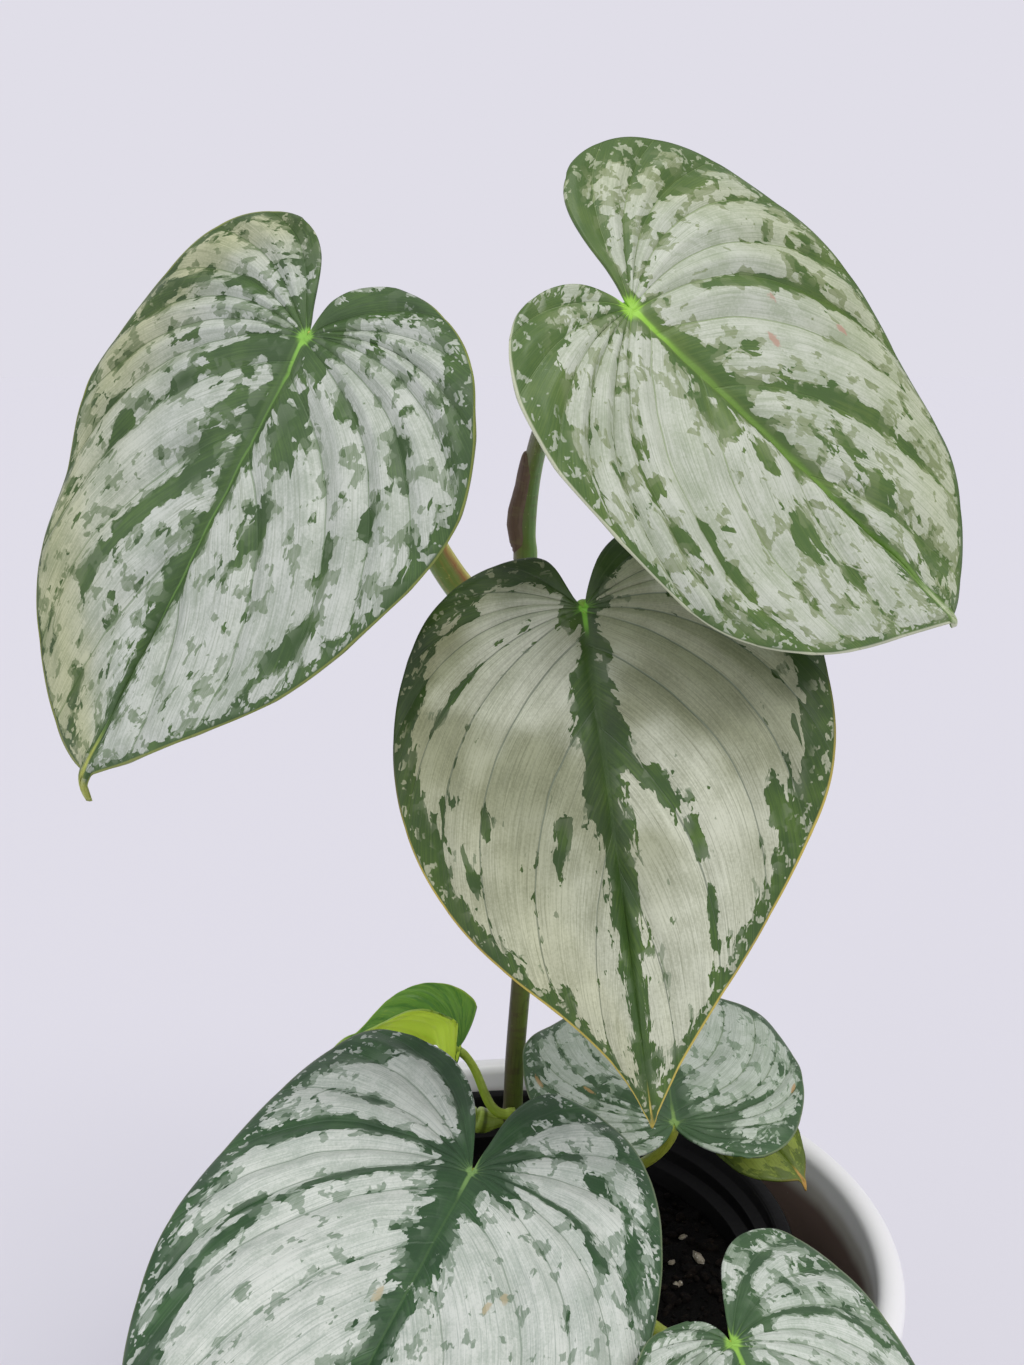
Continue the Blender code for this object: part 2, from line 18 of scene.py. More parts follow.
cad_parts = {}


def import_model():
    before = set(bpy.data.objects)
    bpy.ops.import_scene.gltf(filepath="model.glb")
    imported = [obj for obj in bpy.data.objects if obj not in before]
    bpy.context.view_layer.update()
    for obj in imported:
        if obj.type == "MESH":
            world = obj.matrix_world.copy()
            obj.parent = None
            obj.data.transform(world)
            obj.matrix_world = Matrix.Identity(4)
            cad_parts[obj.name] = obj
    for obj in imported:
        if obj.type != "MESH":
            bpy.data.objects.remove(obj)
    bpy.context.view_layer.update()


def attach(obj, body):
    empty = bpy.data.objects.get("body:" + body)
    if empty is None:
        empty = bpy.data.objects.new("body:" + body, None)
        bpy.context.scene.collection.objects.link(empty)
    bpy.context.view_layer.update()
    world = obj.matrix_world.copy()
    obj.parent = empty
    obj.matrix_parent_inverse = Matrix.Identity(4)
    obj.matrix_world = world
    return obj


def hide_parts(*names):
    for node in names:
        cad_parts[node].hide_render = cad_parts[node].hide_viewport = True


LOG = logging.getLogger("potted_philodendron")

MM = 0.001
MM_PER_CM = 10.0
BODY = "root"
RIM_Z = 126.0
SOIL_Z = RIM_Z - 17.4

# Side veins of a blade, on its own map: the first one's place, their spacing, how far the halves are out of step
VEIN_FIRST = 0.07
VEIN_STEP = 0.10
VEIN_SKEW = 0.012
VEIN_COUNT = 9

# The mosaic that frays the splashes: cells between midrib and margin, and a cell's millimetres along the blade
ROUGH_CELLS = (20.0, 2.0)
FINE_CELLS = (44.0, 0.95)
MOSAIC_MM = 100.0

# The numbers that a blade's mesh carries at each point, which its finish reads
MARKS = ("cover", "scar", "edge_mm", "rib_mm", "row_mm", "heart_mm", "flat_x", "flat_y", "map_x", "map_y")

# Points of one piece closer than this are one point, in millimetres
MERGE_MM = 0.01

Colour = Tuple[float, float, float, float]
Number = Union[int, float]
Profile = List[Tuple[float, float]]
Point = TypeVar("Point", float, Vector)


def paint(code: str) -> Colour:
    """Turns a six-digit colour code into the linear colour that a shader takes.

    Args:
        code: Red, green and blue in hexadecimal, such as "#3e6b35".

    Returns:
        Linear red, green, blue, and an alpha of one.
    """
    parts = [int(code[start : start + 2], 16) / 255 for start in (1, 3, 5)]
    red, green, blue = [((part + 0.055) / 1.055) ** 2.4 if part > 0.04045 else part / 12.92 for part in parts]
    return (red, green, blue, 1.0)


def cubic(a: Point, b: Point, c: Point, d: Point, share: float) -> Point:
    """The point at a share of a cubic Bezier curve, given its start, its two handles and its end."""
    rest = 1.0 - share
    return a * rest**3 + b * (3 * rest * rest * share) + c * (3 * rest * share * share) + d * share**3


def clamp(value: float, low: float = 0.0, high: float = 1.0) -> float:
    """Holds a value between two limits."""
    return max(low, min(high, value))


def hump(distance: float, width: float) -> float:
    """A smooth hill: one at no distance, nearly nothing past twice the width."""
    return math.exp(-((distance / width) ** 2))


def between(values: Sequence[float], share: float) -> float:
    """Reads a row of values between its members.

    Args:
        values: The row.
        share: How far along it, from 0 to 1.

    Returns:
        The value there.
    """
    place = clamp(share) * (len(values) - 1)
    index = min(int(place), len(values) - 2)
    return values[index] + (values[index + 1] - values[index]) * (place - index)


def square_to(along: Vector, heading: float) -> Vector:
    """Turns a compass heading into a direction square to an axis.

    Args:
        along: The axis.
        heading: The heading in degrees.

    Returns:
        The direction, one unit long.
    """
    angle = math.radians(heading)
    side = Vector((math.cos(angle), math.sin(angle), 0))
    return (side - along * side.dot(along)).normalized()


class Value:
    """A shader socket that sums, products and comparisons can be written with."""

    def __init__(self, graph: "Graph", socket: bpy.types.NodeSocket) -> None:
        """Keeps the socket and the graph it belongs to."""
        self.graph = graph
        self.socket = socket

    def __add__(self, other: "Term") -> "Value":
        """Adds."""
        return self.graph.maths("ADD", self, other)

    __radd__ = __add__

    def __sub__(self, other: "Term") -> "Value":
        """Takes the other away."""
        return self.graph.maths("SUBTRACT", self, other)

    def __rsub__(self, other: "Term") -> "Value":
        """Is taken away from the other."""
        return self.graph.maths("SUBTRACT", other, self)

    def __mul__(self, other: "Term") -> "Value":
        """Multiplies."""
        return self.graph.maths("MULTIPLY", self, other)

    __rmul__ = __mul__

    def __truediv__(self, other: "Term") -> "Value":
        """Divides by the other."""
        return self.graph.maths("DIVIDE", self, other)

    def sway(self, amount: float) -> "Value":
        """Turns a number around one half into one around nothing, this many times as strong."""
        return (self - 0.5) * amount

    def step(self, low: float, high: float) -> "Value":
        """Gives nothing below one limit, one above the other, and a smooth rise between them.

        Args:
            low: Where the result starts to rise.
            high: Where it reaches one. A high under the low turns the rise round.

        Returns:
            The risen value.
        """
        flipped = low > high
        start, end = (high, low) if flipped else (low, high)
        sockets = {"Value": self, "From Min": start, "From Max": end}
        risen = self.graph.node("ShaderNodeMapRange", {"interpolation_type": "SMOOTHSTEP"}, sockets)
        return 1.0 - risen if flipped else risen


Term = Union[Value, Number, str, Tuple[float, ...]]


class Graph:
    """A material's node tree, written as expressions. A colour can stand in it as its code."""

    def __init__(self, name: str) -> None:
        """Starts a material with its Principled shader."""
        self.material = bpy.data.materials.new(name)
        self.material.use_nodes = True
        self.tree = self.material.node_tree
        self.shader = self.tree.nodes["Principled BSDF"]

    def feed(self, socket: bpy.types.NodeSocket, term: Term) -> None:
        """Links a value to a socket, or sets what is the same all over on it.

        Args:
            socket: The input to feed.
            term: A value, a number, a vector or a colour's code.
        """
        if isinstance(term, Value):
            self.tree.links.new(term.socket, socket)
        else:
            socket.default_value = paint(term) if isinstance(term, str) else term

    def node(
        self,
        kind: str,
        settings: Optional[Dict[str, object]] = None,
        sockets: Optional[Dict[Union[str, int], Term]] = None,
        output: Union[str, int] = 0,
    ) -> Value:
        """Adds any node.

        Args:
            kind: The node's type.
            settings: Its properties, set before its sockets. "stops" fills a ramp with (place, colour) pairs.
            sockets: Values or links for its inputs.
            output: The output to hand back.

        Returns:
            That output, ready for expressions.
        """
        made = self.tree.nodes.new(kind)
        for key, value in (settings or {}).items():
            if key == "stops":
                self.fill_ramp(made.color_ramp, value)
            else:
                setattr(made, key, value)
        for key, term in (sockets or {}).items():
            self.feed(made.inputs[key], term)
        return Value(self, made.outputs[output])

    @staticmethod
    def fill_ramp(ramp: bpy.types.ColorRamp, stops: Sequence[Tuple[float, str]]) -> None:
        """Gives a ramp its stops.

        Args:
            ramp: The ramp, as Blender makes it.
            stops: Places and colour codes, in order.
        """
        while len(ramp.elements) < len(stops):
            ramp.elements.new(0.5)
        for element, (place, code) in zip(ramp.elements, stops):
            element.position = place
            element.color = paint(code)

    def maths(self, operation: str, *terms: Term) -> Value:
        """Adds a Math node that works on the terms."""
        return self.node("ShaderNodeMath", {"operation": operation}, dict(enumerate(terms)))

    def mix(self, first: Term, second: Term, share: Term, blend: str = "MIX") -> Value:
        """Blends two colours.

        Args:
            first: The colour where the share is nothing.
            second: The colour where the share is one.
            share: How much of the second shows.
            blend: How the second is laid on, such as "MIX" or "MULTIPLY".

        Returns:
            The blended colour.
        """
        settings = {"data_type": "RGBA", "blend_type": blend}
        return self.node("ShaderNodeMix", settings, {0: share, 6: first, 7: second}, 2)

    def layers(self, colour: Term, *coats: Tuple[Term, ...]) -> Value:
        """Lays coats of colour over one another.

        Args:
            colour: The lowest colour.
            *coats: Each coat's colour, its share and, unless it is "MIX", its blend, from the lowest up.

        Returns:
            The finished colour.
        """
        for coat in coats:
            colour = self.mix(colour, *coat)
        return colour

    def scaled(self, vector: Value, factors: Tuple[float, float, float]) -> Value:
        """Multiplies a vector by three factors."""
        return self.node("ShaderNodeVectorMath", {"operation": "MULTIPLY"}, {0: vector, 1: factors})

    def shifted(self, vector: Value, offset: Tuple[float, float, float]) -> Value:
        """Moves a vector."""
        return self.node("ShaderNodeVectorMath", {"operation": "ADD"}, {0: vector, 1: offset})

    def object_place(self) -> Value:
        """The place on the piece, in metres."""
        return self.node("ShaderNodeTexCoord", output="Object")

    def map_place(self, name: str) -> Value:
        """The place on the piece's own map."""
        return self.node("ShaderNodeUVMap", {"uv_map": name})

    def field(self, name: str) -> Value:
        """A number that the mesh carries at each point."""
        return self.node("ShaderNodeAttribute", {"attribute_name": name}, output="Fac")

    def parts(self, vector: Value) -> Tuple[Value, Value, Value]:
        """Splits a vector into its three numbers."""
        split = self.tree.nodes.new("ShaderNodeSeparateXYZ")
        self.feed(split.inputs[0], vector)
        return tuple(Value(self, split.outputs[axis]) for axis in range(3))

    def join(self, first: Term, second: Term) -> Value:
        """Makes a vector of two numbers."""
        return self.node("ShaderNodeCombineXYZ", None, {0: first, 1: second})

    def grain(self, vector: Value, scale: float, detail: float = 3.0, roughness: float = 0.5) -> Value:
        """Soft noise of this scale, around one half."""
        sockets = {"Vector": vector, "Scale": scale, "Detail": detail, "Roughness": roughness}
        return self.node("ShaderNodeTexNoise", None, sockets)

    def streaks(
        self, place: Value, across: float, along: float, detail: float = 3.0, roughness: float = 0.5
    ) -> Value:
        """Soft noise drawn out on a map.

        Args:
            place: The place on the map.
            across: How many waves it has over one unit of the map's first axis.
            along: How many over one unit of its second.
            detail: How many finer layers it has.
            roughness: How strong the finer layers are.

        Returns:
            The noise, around one half.
        """
        return self.grain(self.scaled(place, (across, along, 1.0)), 1.0, detail, roughness)

    def cells(self, vector: Value, metric: str, randomness: float) -> Value:
        """A random number for each cell of a mosaic, with one cell to each unit of the vector.

        Args:
            vector: Where to look.
            metric: How distance is measured, which shapes the cells.
            randomness: How uneven the cells are.

        Returns:
            The cell's own number, from 0 to 1.
        """
        settings = {"voronoi_dimensions": "2D", "distance": metric}
        sockets = {"Vector": vector, "Scale": 1.0, "Randomness": randomness}
        return self.parts(self.node("ShaderNodeTexVoronoi", settings, sockets, "Color"))[0]

    def bump(self, height: Value, distance: float, strength: float = 1.0) -> Value:
        """Turns a height into a shading normal."""
        sockets = {"Height": height, "Distance": distance, "Strength": strength}
        return self.node("ShaderNodeBump", None, sockets, "Normal")

    def dress(self, **sockets: Term) -> bpy.types.Material:
        """Feeds the Principled shader.

        Args:
            **sockets: Terms by socket name, with underscores for spaces.

        Returns:
            The finished material.
        """
        for key, term in sockets.items():
            self.feed(self.shader.inputs[key.replace("_", " ")], term)
        return self.material


@dataclass(frozen=True)
class Half:
    """One half of a blade's outline in millimetres, from the petiole point in the plane of the blade."""

    width: float
    widest_at: float
    lobe_across: float
    lobe_rise: float
    sinus_angle: float
    flank: float
    slim: float
    tuck: float
    fold: float = 6.0
    hang: float = 0.0


@dataclass(frozen=True)
class Bend:
    """How the flat outline leaves its plane, in millimetres."""

    curl: float
    droop: float
    lobe_lift: float
    wave: float
    waves: float
    phase: float


@dataclass(frozen=True)
class Splash:
    """One green blotch on a blade's own map: out from the midrib (minus is the other half), along, and its size.

    A strength under nothing keeps the green away instead.
    """

    out: float
    along: float
    out_size: float
    along_size: float
    strength: float = 1.0


class Age(Enum):
    """Whether a leaf is full grown or still opening."""

    GROWN = "grown"
    YOUNG = "young"


@dataclass(frozen=True)
class LeafFinish:
    """The colours and the marking of one leaf.

    Widths and halves are in millimetres, and places along the blade run from 0 to 1. The tint, painted light where
    light shines through the thin blade, lies over one half, and the edge colour over one half or both, plus or
    minus by their side. The painted shade darkens soft patches round the petiole point, for the shadow of a leaf
    above.
    """

    name: str
    silver: str
    middle: str
    green: str
    deep: str
    edge: str
    heart: str
    seed: float
    silver_shade: str = "#a0aa9a"
    line: str = "#89937d"
    vein: str = "#5a7d44"
    underside: str = "#9aae84"
    scar: str = "#b5a888"
    # The tint is painted light: a warm colour multiplied over one half of the blade, where light shines through it
    tint: str = "#ffffff"
    # The colour of the painted shade: multiplied over soft patches round the petiole point, for the shadow that a
    # leaf above casts
    painted_shade: str = "#b2b49c"
    green_from: float = 0.40
    middle_from: float = 0.24
    blotch: float = 0.8
    islands: float = 1.2
    dapple: float = 0.16
    rib_share: float = 0.25
    rib_half: float = 0.34
    ribbon_share: float = 0.6
    tip_share: float = 0.5
    tip_from: float = 0.96
    # How strongly the painted shade shows
    painted_shade_share: float = 0.0
    glow: float = 1.0
    vein_share: float = 0.5
    vein_half: float = 0.32
    # Which half the tint's painted light lies on, and how strongly it shows
    painted_light_side: float = 1.0
    painted_light_share: float = 0.0
    edge_width: float = 0.6
    edge_share: float = 0.4
    edge_side: float = 0.0
    edge_from: float = 0.0
    age: Age = Age.GROWN

    def own_place(self, graph: Graph, place: Value) -> Value:
        """The place moved by the leaf's seed, so that no two leaves are marked alike."""
        return graph.shifted(place, (self.seed, 2.3 * self.seed, 0.0))

    @staticmethod
    def veins(graph: Graph, place: Value, density: float) -> Value:
        """How far a place is from the nearest side vein, in millimetres.

        Args:
            graph: The material's graph.
            place: The place on the blade's map.
            density: How many veins stand where one main vein does.

        Returns:
            The distance.
        """
        out, along, _ = graph.parts(place)
        wander = graph.streaks(place, 5.0, 11.0, 2.0).sway(0.010)
        turns = (along + wander - graph.maths("SIGN", out) * VEIN_SKEW - VEIN_FIRST) * (density / VEIN_STEP)
        off = graph.maths("ABSOLUTE", turns - graph.maths("ROUND", turns)) * (VEIN_STEP / density)
        return off * graph.field("row_mm")

    @staticmethod
    def mosaic(graph: Graph, place: Value, cells: Tuple[float, float]) -> Value:
        """A random number for each cell of a mosaic that follows the veins.

        The veins run together towards the midrib, so each time their spacing halves the cells double along the
        blade, and stay about as large in millimetres.

        Args:
            graph: The material's graph.
            place: The place on the blade's map.
            cells: How many cells lie between midrib and margin, and a cell's millimetres along the blade.

        Returns:
            The cell's own number, from 0 to 1.
        """
        out, along, _ = graph.parts(place)
        across, cell_mm = cells
        level = graph.maths("FLOOR", graph.maths("LOGARITHM", graph.field("row_mm") / MOSAIC_MM, 2.0) + 0.5)
        crowd = graph.maths("POWER", 2.0, level) * (MOSAIC_MM / cell_mm)
        return graph.cells(graph.join(out * across + level * 5.0, along * crowd), "CHEBYCHEV", 0.95)

    def upper(self) -> bpy.types.Material:
        """Makes the upper face: silver with jagged green splashes, streaks along the veins and a fine edge."""
        if self.age is Age.YOUNG:
            return self.glossy_green()
        graph = Graph(f"{self.name} upper face")
        place = graph.map_place("veins")
        own = self.own_place(graph, place)
        out, along, _ = graph.parts(place)
        heart, edge, rib, cover = [graph.field(name) for name in ("heart_mm", "edge_mm", "rib_mm", "cover")]
        flat = graph.shifted(graph.join(graph.field("flat_x"), graph.field("flat_y")), (40 * self.seed, 0, 0))

        # What breaks the cover up into splashes and half-tones: patches, isles, flecks and the mosaic's cells
        rough_draw = self.mosaic(graph, own, ROUGH_CELLS)
        fine_draw = self.mosaic(graph, own, FINE_CELLS)
        patches = graph.grain(flat, 1 / 7.5, 2.0) * 0.5 + graph.streaks(own, 5.0, 15.0, 2.0) * 0.5
        isles = graph.grain(flat, 1 / 4.2, 1.0)
        flecks = graph.grain(flat, 1 / 2.2, 2.0, 0.6)
        half_isles = graph.grain(graph.shifted(flat, (31.0, 17.0, 0.0)), 1 / 4.0, 2.0)
        lean = cover + patches.sway(self.blotch) + isles.sway(self.islands)
        green_value = lean + flecks.sway(0.35) + rough_draw.sway(0.36) + fine_draw.sway(0.16)
        half_value = lean * 0.85 + half_isles.sway(1.4) + rough_draw.sway(0.40) + fine_draw.sway(0.14)
        is_green = green_value.step(self.green_from - 0.015, self.green_from + 0.015)
        is_middle = half_value.step(self.middle_from - 0.02, self.middle_from + 0.02)

        # The three tones, each with its own fine lines
        streaks = graph.streaks(own, 5.0, 330.0, 4.0, 0.6)
        fine_lines = graph.streaks(own, 4.0, 560.0, 2.0)
        tone = graph.grain(flat, 1 / 9.0, 3.0, 0.55)
        grit = graph.grain(flat, 1 / 0.5, 2.0, 0.7)
        pale = (streaks * 0.8 + tone * 0.8 + (rough_draw.sway(self.dapple) + grit.sway(0.5))).step(0.50, 1.02)
        silver = graph.layers(
            self.silver_shade, (self.silver, pale), (self.line, fine_lines.step(0.56, 0.68) * 0.55)
        )
        middle = graph.layers(
            self.middle,
            (self.silver_shade, streaks.step(0.40, 0.75) * 0.45),
            (self.green, fine_lines.step(0.54, 0.70) * 0.35),
        )
        specks = flecks.step(0.55, 0.58) * edge.step(9.0, 4.0) * edge.step(0.5, 1.4) * fine_draw.step(0.25, 0.30)
        green = graph.layers(
            self.deep,
            (self.green, (tone * 0.7 + streaks * 0.6).step(0.56, 0.86)),
            (self.middle, half_isles.step(0.52, 0.56) * (1.2 - cover).step(0.3, 0.9) * 0.4),
            (silver, specks * 0.75),
        )

        # What lies over them: painted shade, veins, midrib, the tint of painted light, the glow round the petiole
        # point, scars, rim and tip
        # Painted shade: soft patches round the petiole point, darkened for the shadow that a leaf above casts
        clouds = graph.grain(flat, 1 / 24.0, 2.0).step(0.38, 0.58) * heart.step(66.0, 30.0)
        away = heart.step(2.0, 10.0) * (1.0 - is_green * 0.75)
        main_vein = self.veins(graph, place, 1.0).step(self.vein_half, self.vein_half * 0.35)
        side_vein = self.veins(graph, place, 3.0).step(0.20, 0.05)
        ribbon = rib.step(1.5, 0.9) * heart.step(58.0, 12.0)
        # Painted light: the half that the tint warms, where light shines through the thin blade
        side = (out * self.painted_light_side).step(0.1, 1.0) * graph.streaks(own, 2.0, 3.0, 2.0)
        rays = main_vein * heart.step(7.0 * self.glow, 1.5) * 0.35
        stem_line = rib.step(0.7, 0.2) * heart.step(14.0 * self.glow, 2.0) * 0.75
        glow = heart.step(2.4 * self.glow, 0.4) + stem_line + rays
        scars = (graph.field("scar") + grit.sway(0.6)).step(0.40, 0.62)
        tip = along.step(self.tip_from, self.tip_from + 0.02) * self.tip_share
        rim = edge.step(self.edge_width, self.edge_width * 0.4)
        rim = rim * along.step(self.edge_from - 0.1, self.edge_from + 0.1)
        if self.edge_side:
            rim = rim * (out * self.edge_side).step(-0.1, 0.1)
        colour = graph.layers(
            silver,
            (middle, is_middle * (0.70 + fine_draw * 0.3)),
            (green, is_green),
            # The painted shade of a leaf above
            (self.painted_shade, clouds * self.painted_shade_share, "MULTIPLY"),
            (self.vein, main_vein * away * self.vein_share),
            (self.line, side_vein * away * self.vein_share * 0.45),
            (self.green, ribbon * self.ribbon_share),
            (self.deep, rib.step(0.95, 0.55) * 0.25),
            (self.heart, rib.step(self.rib_half, self.rib_half * 0.4) * self.rib_share),
            # The tint's painted light on one half
            (self.tint, (side * 1.8).step(0.1, 1.0) * self.painted_light_share, "MULTIPLY"),
            (self.heart, glow.step(0.02, 1.0) * 0.9),
            (self.scar, scars * 0.8),
            (self.edge, graph.maths("MAXIMUM", rim * self.edge_share, tip)),
        )
        relief = streaks * 0.35 - is_green * 0.25 + fine_draw * 0.25 - main_vein * 0.6
        return graph.dress(
            Base_Color=colour,
            Roughness=0.44 + streaks * 0.14 - is_green * 0.08,
            Normal=graph.bump(relief, 0.00014, 0.8),
            Coat_Weight=0.06,
            Coat_Roughness=0.3,
            Specular_IOR_Level=0.40,
        )

    def glossy_green(self) -> bpy.types.Material:
        """Makes the inner face of a leaf that is still unrolling: fresh green, with bands along its veins."""
        graph = Graph(f"{self.name} inner face")
        place = graph.map_place("veins")
        bands = graph.streaks(place, 1.6, 17.0, 3.0, 0.55)
        lines = graph.streaks(place, 8.0, 150.0, 3.0, 0.6)
        rim = graph.field("edge_mm").step(self.edge_width, self.edge_width * 0.3)
        colour = graph.layers(
            self.deep,
            (self.green, bands.step(0.35, 0.60)),
            (self.middle, lines.step(0.52, 0.70) * 0.35),
            (self.deep, graph.field("rib_mm").step(1.6, 0.3) * 0.5),
            (self.edge, rim * self.edge_share),
        )
        return graph.dress(
            Base_Color=colour,
            Roughness=0.30 + lines * 0.12,
            Normal=graph.bump(lines + bands, 0.0001, 0.7),
            Coat_Weight=0.25,
            Coat_Roughness=0.18,
        )

    def lower(self) -> bpy.types.Material:
        """Makes the underside: paler, with the splashes showing through faintly and raised veins."""
        graph = Graph(f"{self.name} underside")
        place = graph.map_place("veins")
        own = self.own_place(graph, place)
        streaks = graph.streaks(own, 12.0, 260.0, 4.0, 0.6)
        clouds = graph.streaks(own, 5.0, 12.0)
        ghost = (graph.field("cover") + clouds).step(0.75, 1.3)
        ribs = self.veins(graph, place, 1.0).step(0.55, 0.12) * 0.5 + graph.field("rib_mm").step(1.3, 0.5) * 0.8
        colour = graph.layers(
            self.underside,
            (self.middle, ghost * 0.5 + streaks.step(0.45, 0.8) * 0.25),
            # On the young leaf these pale mottles are painted highlights on its crumpled underside
            (self.silver, clouds.step(0.52, 0.66) * streaks.step(0.45, 0.65) * 0.45),
            (self.heart, ribs * 0.75),
        )
        return graph.dress(
            Base_Color=colour,
            Roughness=0.50,
            Normal=graph.bump(streaks + ribs, 0.00015, 0.7),
            Specular_IOR_Level=0.35,
            # Painted light: the young leaf's underside glows faintly, for light shining through its thin blade
            Emission_Color=colour,
            Emission_Strength=0.14 if self.age is Age.YOUNG else 0.0,
        )


@dataclass(frozen=True)
class StalkFinish:
    """A smooth stalk with fine lengthwise lines and bands of colour along it.

    The bands are (turn, colour) pairs, with the turn from 0 to 1 round the stalk: 0 on its right as it is seen
    from the front, 0.25 at its back, 0.5 on its left and 0.75 at its front. Each ramp is palest on the right,
    where the key light falls, and darker towards the back and left: painted light and shade over the stalk's own
    colours. A groove that isn't under nothing crosses it at so many centimetres along, and an end colour covers
    its last millimetres.
    """

    name: str
    bands: Tuple[Tuple[float, str], ...]
    line: str
    blotch: str
    blotch_share: float = 0.3
    roughness: float = 0.42
    groove_at: float = -1.0
    end: str = ""

    def make(self) -> bpy.types.Material:
        """Makes the finish from the stalk's own map: round it, and along it."""
        graph = Graph(self.name)
        place = graph.map_place("stalk")
        around, along, _ = graph.parts(place)
        lines = graph.streaks(place, 26.0, 1.4, 3.0, 0.6)
        clouds = graph.streaks(place, 3.0, 5.0, 3.0, 0.55)
        specks = graph.grain(graph.object_place(), 1400.0, 2.0)
        turn = graph.maths("FRACT", around + lines.sway(0.05) + clouds.sway(0.06))
        coats = [
            (self.line, lines.step(0.48, 0.68) * 0.5),
            (self.blotch, clouds.step(0.50, 0.64) * self.blotch_share),
            (self.bands[0][1], specks.step(0.66, 0.74) * 0.35),
        ]
        if self.end:
            coats.append((self.end, graph.field("left_mm").step(9.0, 2.0) * 0.85))
        if self.groove_at >= 0:
            groove = graph.maths("ABSOLUTE", along - self.groove_at).step(0.09, 0.02)
            coats.append((self.line, groove * 0.8))
        # The ramp holds the stalk's own colours and painted light, paler on its lit right side
        bands_and_painted_light = graph.node("ShaderNodeValToRGB", {"stops": self.bands}, {"Fac": turn})
        return graph.dress(
            Base_Color=graph.layers(bands_and_painted_light, *coats),
            Roughness=self.roughness,
            Normal=graph.bump(lines * 0.8 + clouds * 0.3, 0.0002, 0.9),
            Coat_Weight=0.08,
            Coat_Roughness=0.3,
        )


# Each ramp below is palest at turn 0, on the stalk's lit right side: painted light over the stalk's own colours
BARK = StalkFinish(
    "olive stem",
    ((0.0, "#8a9a3c"), (0.25, "#5f6c2a"), (0.5, "#4a4030"), (0.68, "#5a5a2c"), (0.85, "#667a2a")),
    "#3f4420", "#4e3d2c", 0.4, 0.5)
HUSK = StalkFinish(
    "dry brown sheath",
    ((0.0, "#7a6a48"), (0.4, "#5b4636"), (0.7, "#63493c"), (0.9, "#7c6450")),
    "#3d2c24", "#7a7048", 0.35, 0.65)
BUD = StalkFinish(
    "pale green bud",
    ((0.0, "#b9cc62"), (0.4, "#93ac44"), (0.75, "#a9c050"), (0.95, "#b9cc62")),
    "#4d5a20", "#c3d47c", 0.4, 0.4, groove_at=0.5)
YELLOW_BANDED = StalkFinish(
    "yellow-banded stalk",
    ((0.0, "#dcd474"), (0.28, "#b8b04c"), (0.5, "#6d8a35"), (0.74, "#7a8a38"), (0.80, "#9a5f30"),
     (0.88, "#dcd474")),
    "#a08a40", "#8a9440", 0.25)
OLIVE = StalkFinish(
    "olive stalk",
    ((0.0, "#b9c67a"), (0.2, "#7c8a3c"), (0.5, "#5f5538"), (0.68, "#6b7438"), (0.86, "#5f8a35"),
     (0.95, "#7fa04a")),
    "#556228", "#6a5a3a", 0.3, end="#8fc040")
FRESH = StalkFinish(
    "yellow-green stalk",
    ((0.0, "#cfd76a"), (0.3, "#a0ae3c"), (0.6, "#a9b83c"), (0.9, "#c3cc55")),
    "#8a9a30", "#8f9a3a", 0.35)
LIME = StalkFinish(
    "lime stalk",
    ((0.0, "#cfe070"), (0.3, "#9fb838"), (0.6, "#a6c43a"), (0.9, "#c6dc58")),
    "#86a028", "#97b030", 0.3)


@dataclass(frozen=True)
class GlazeFinish:
    """White glaze on a cast pot: nearly even, with faint ripple, and greyer then dark low inside.

    The lines are depths under the rim in millimetres, inside the pot only.
    """

    glaze: str = "#f4f3f5"
    shade: str = "#e4e2e6"
    inside: str = "#cfcac4"
    dark: str = "#8a746c"
    grey_line: float = 6.5
    dark_line: float = 13.0

    def make(self) -> bpy.types.Material:
        """Makes the finish from the place on the pot."""
        graph = Graph("white glaze")
        place = graph.object_place()
        depth = (RIM_Z * MM - graph.parts(place)[2]) * (1 / MM)
        wander = graph.grain(place, 60.0)
        inner = graph.field("inside")
        # The inner wall turns greyer below one depth and dark below the other
        low = (depth + wander.sway(2.4)).step(self.grey_line - 1.8, self.grey_line + 2.0) * inner
        lower = (depth + wander.sway(3.0)).step(self.dark_line - 4.0, self.dark_line) * inner
        colour = graph.layers(
            self.glaze,
            (self.shade, graph.grain(place, 24.0).step(0.4, 0.75) * 0.6),
            (self.inside, low),
            (self.dark, lower),
            (self.inside, graph.grain(place, 900.0, 2.0).step(0.74, 0.78) * 0.35),
        )
        return graph.dress(
            Base_Color=colour,
            Roughness=0.30 + lower * 0.35,
            Normal=graph.bump(graph.grain(place, 140.0, 2.0), 0.0002, 0.5),
            Coat_Weight=0.25,
            Coat_Roughness=0.15,
        )


@dataclass(frozen=True)
class PlasticFinish:
    """Thin black plastic, dusty in places."""

    body: str = "#0a090a"
    dust: str = "#2e282c"

    def make(self) -> bpy.types.Material:
        """Makes the finish from the place on the pot."""
        graph = Graph("black nursery plastic")
        place = graph.object_place()
        dust = graph.grain(place, 260.0, 5.0, 0.7)
        film = dust.step(0.60, 0.80) * 0.4 + graph.grain(place, 40.0).step(0.5, 0.9) * 0.1
        return graph.dress(
            Base_Color=graph.mix(self.body, self.dust, film),
            Roughness=0.26 + dust * 0.22,
            Normal=graph.bump(graph.grain(place, 700.0, 2.0), 0.0001, 0.5),
            Specular_IOR_Level=0.10,
        )


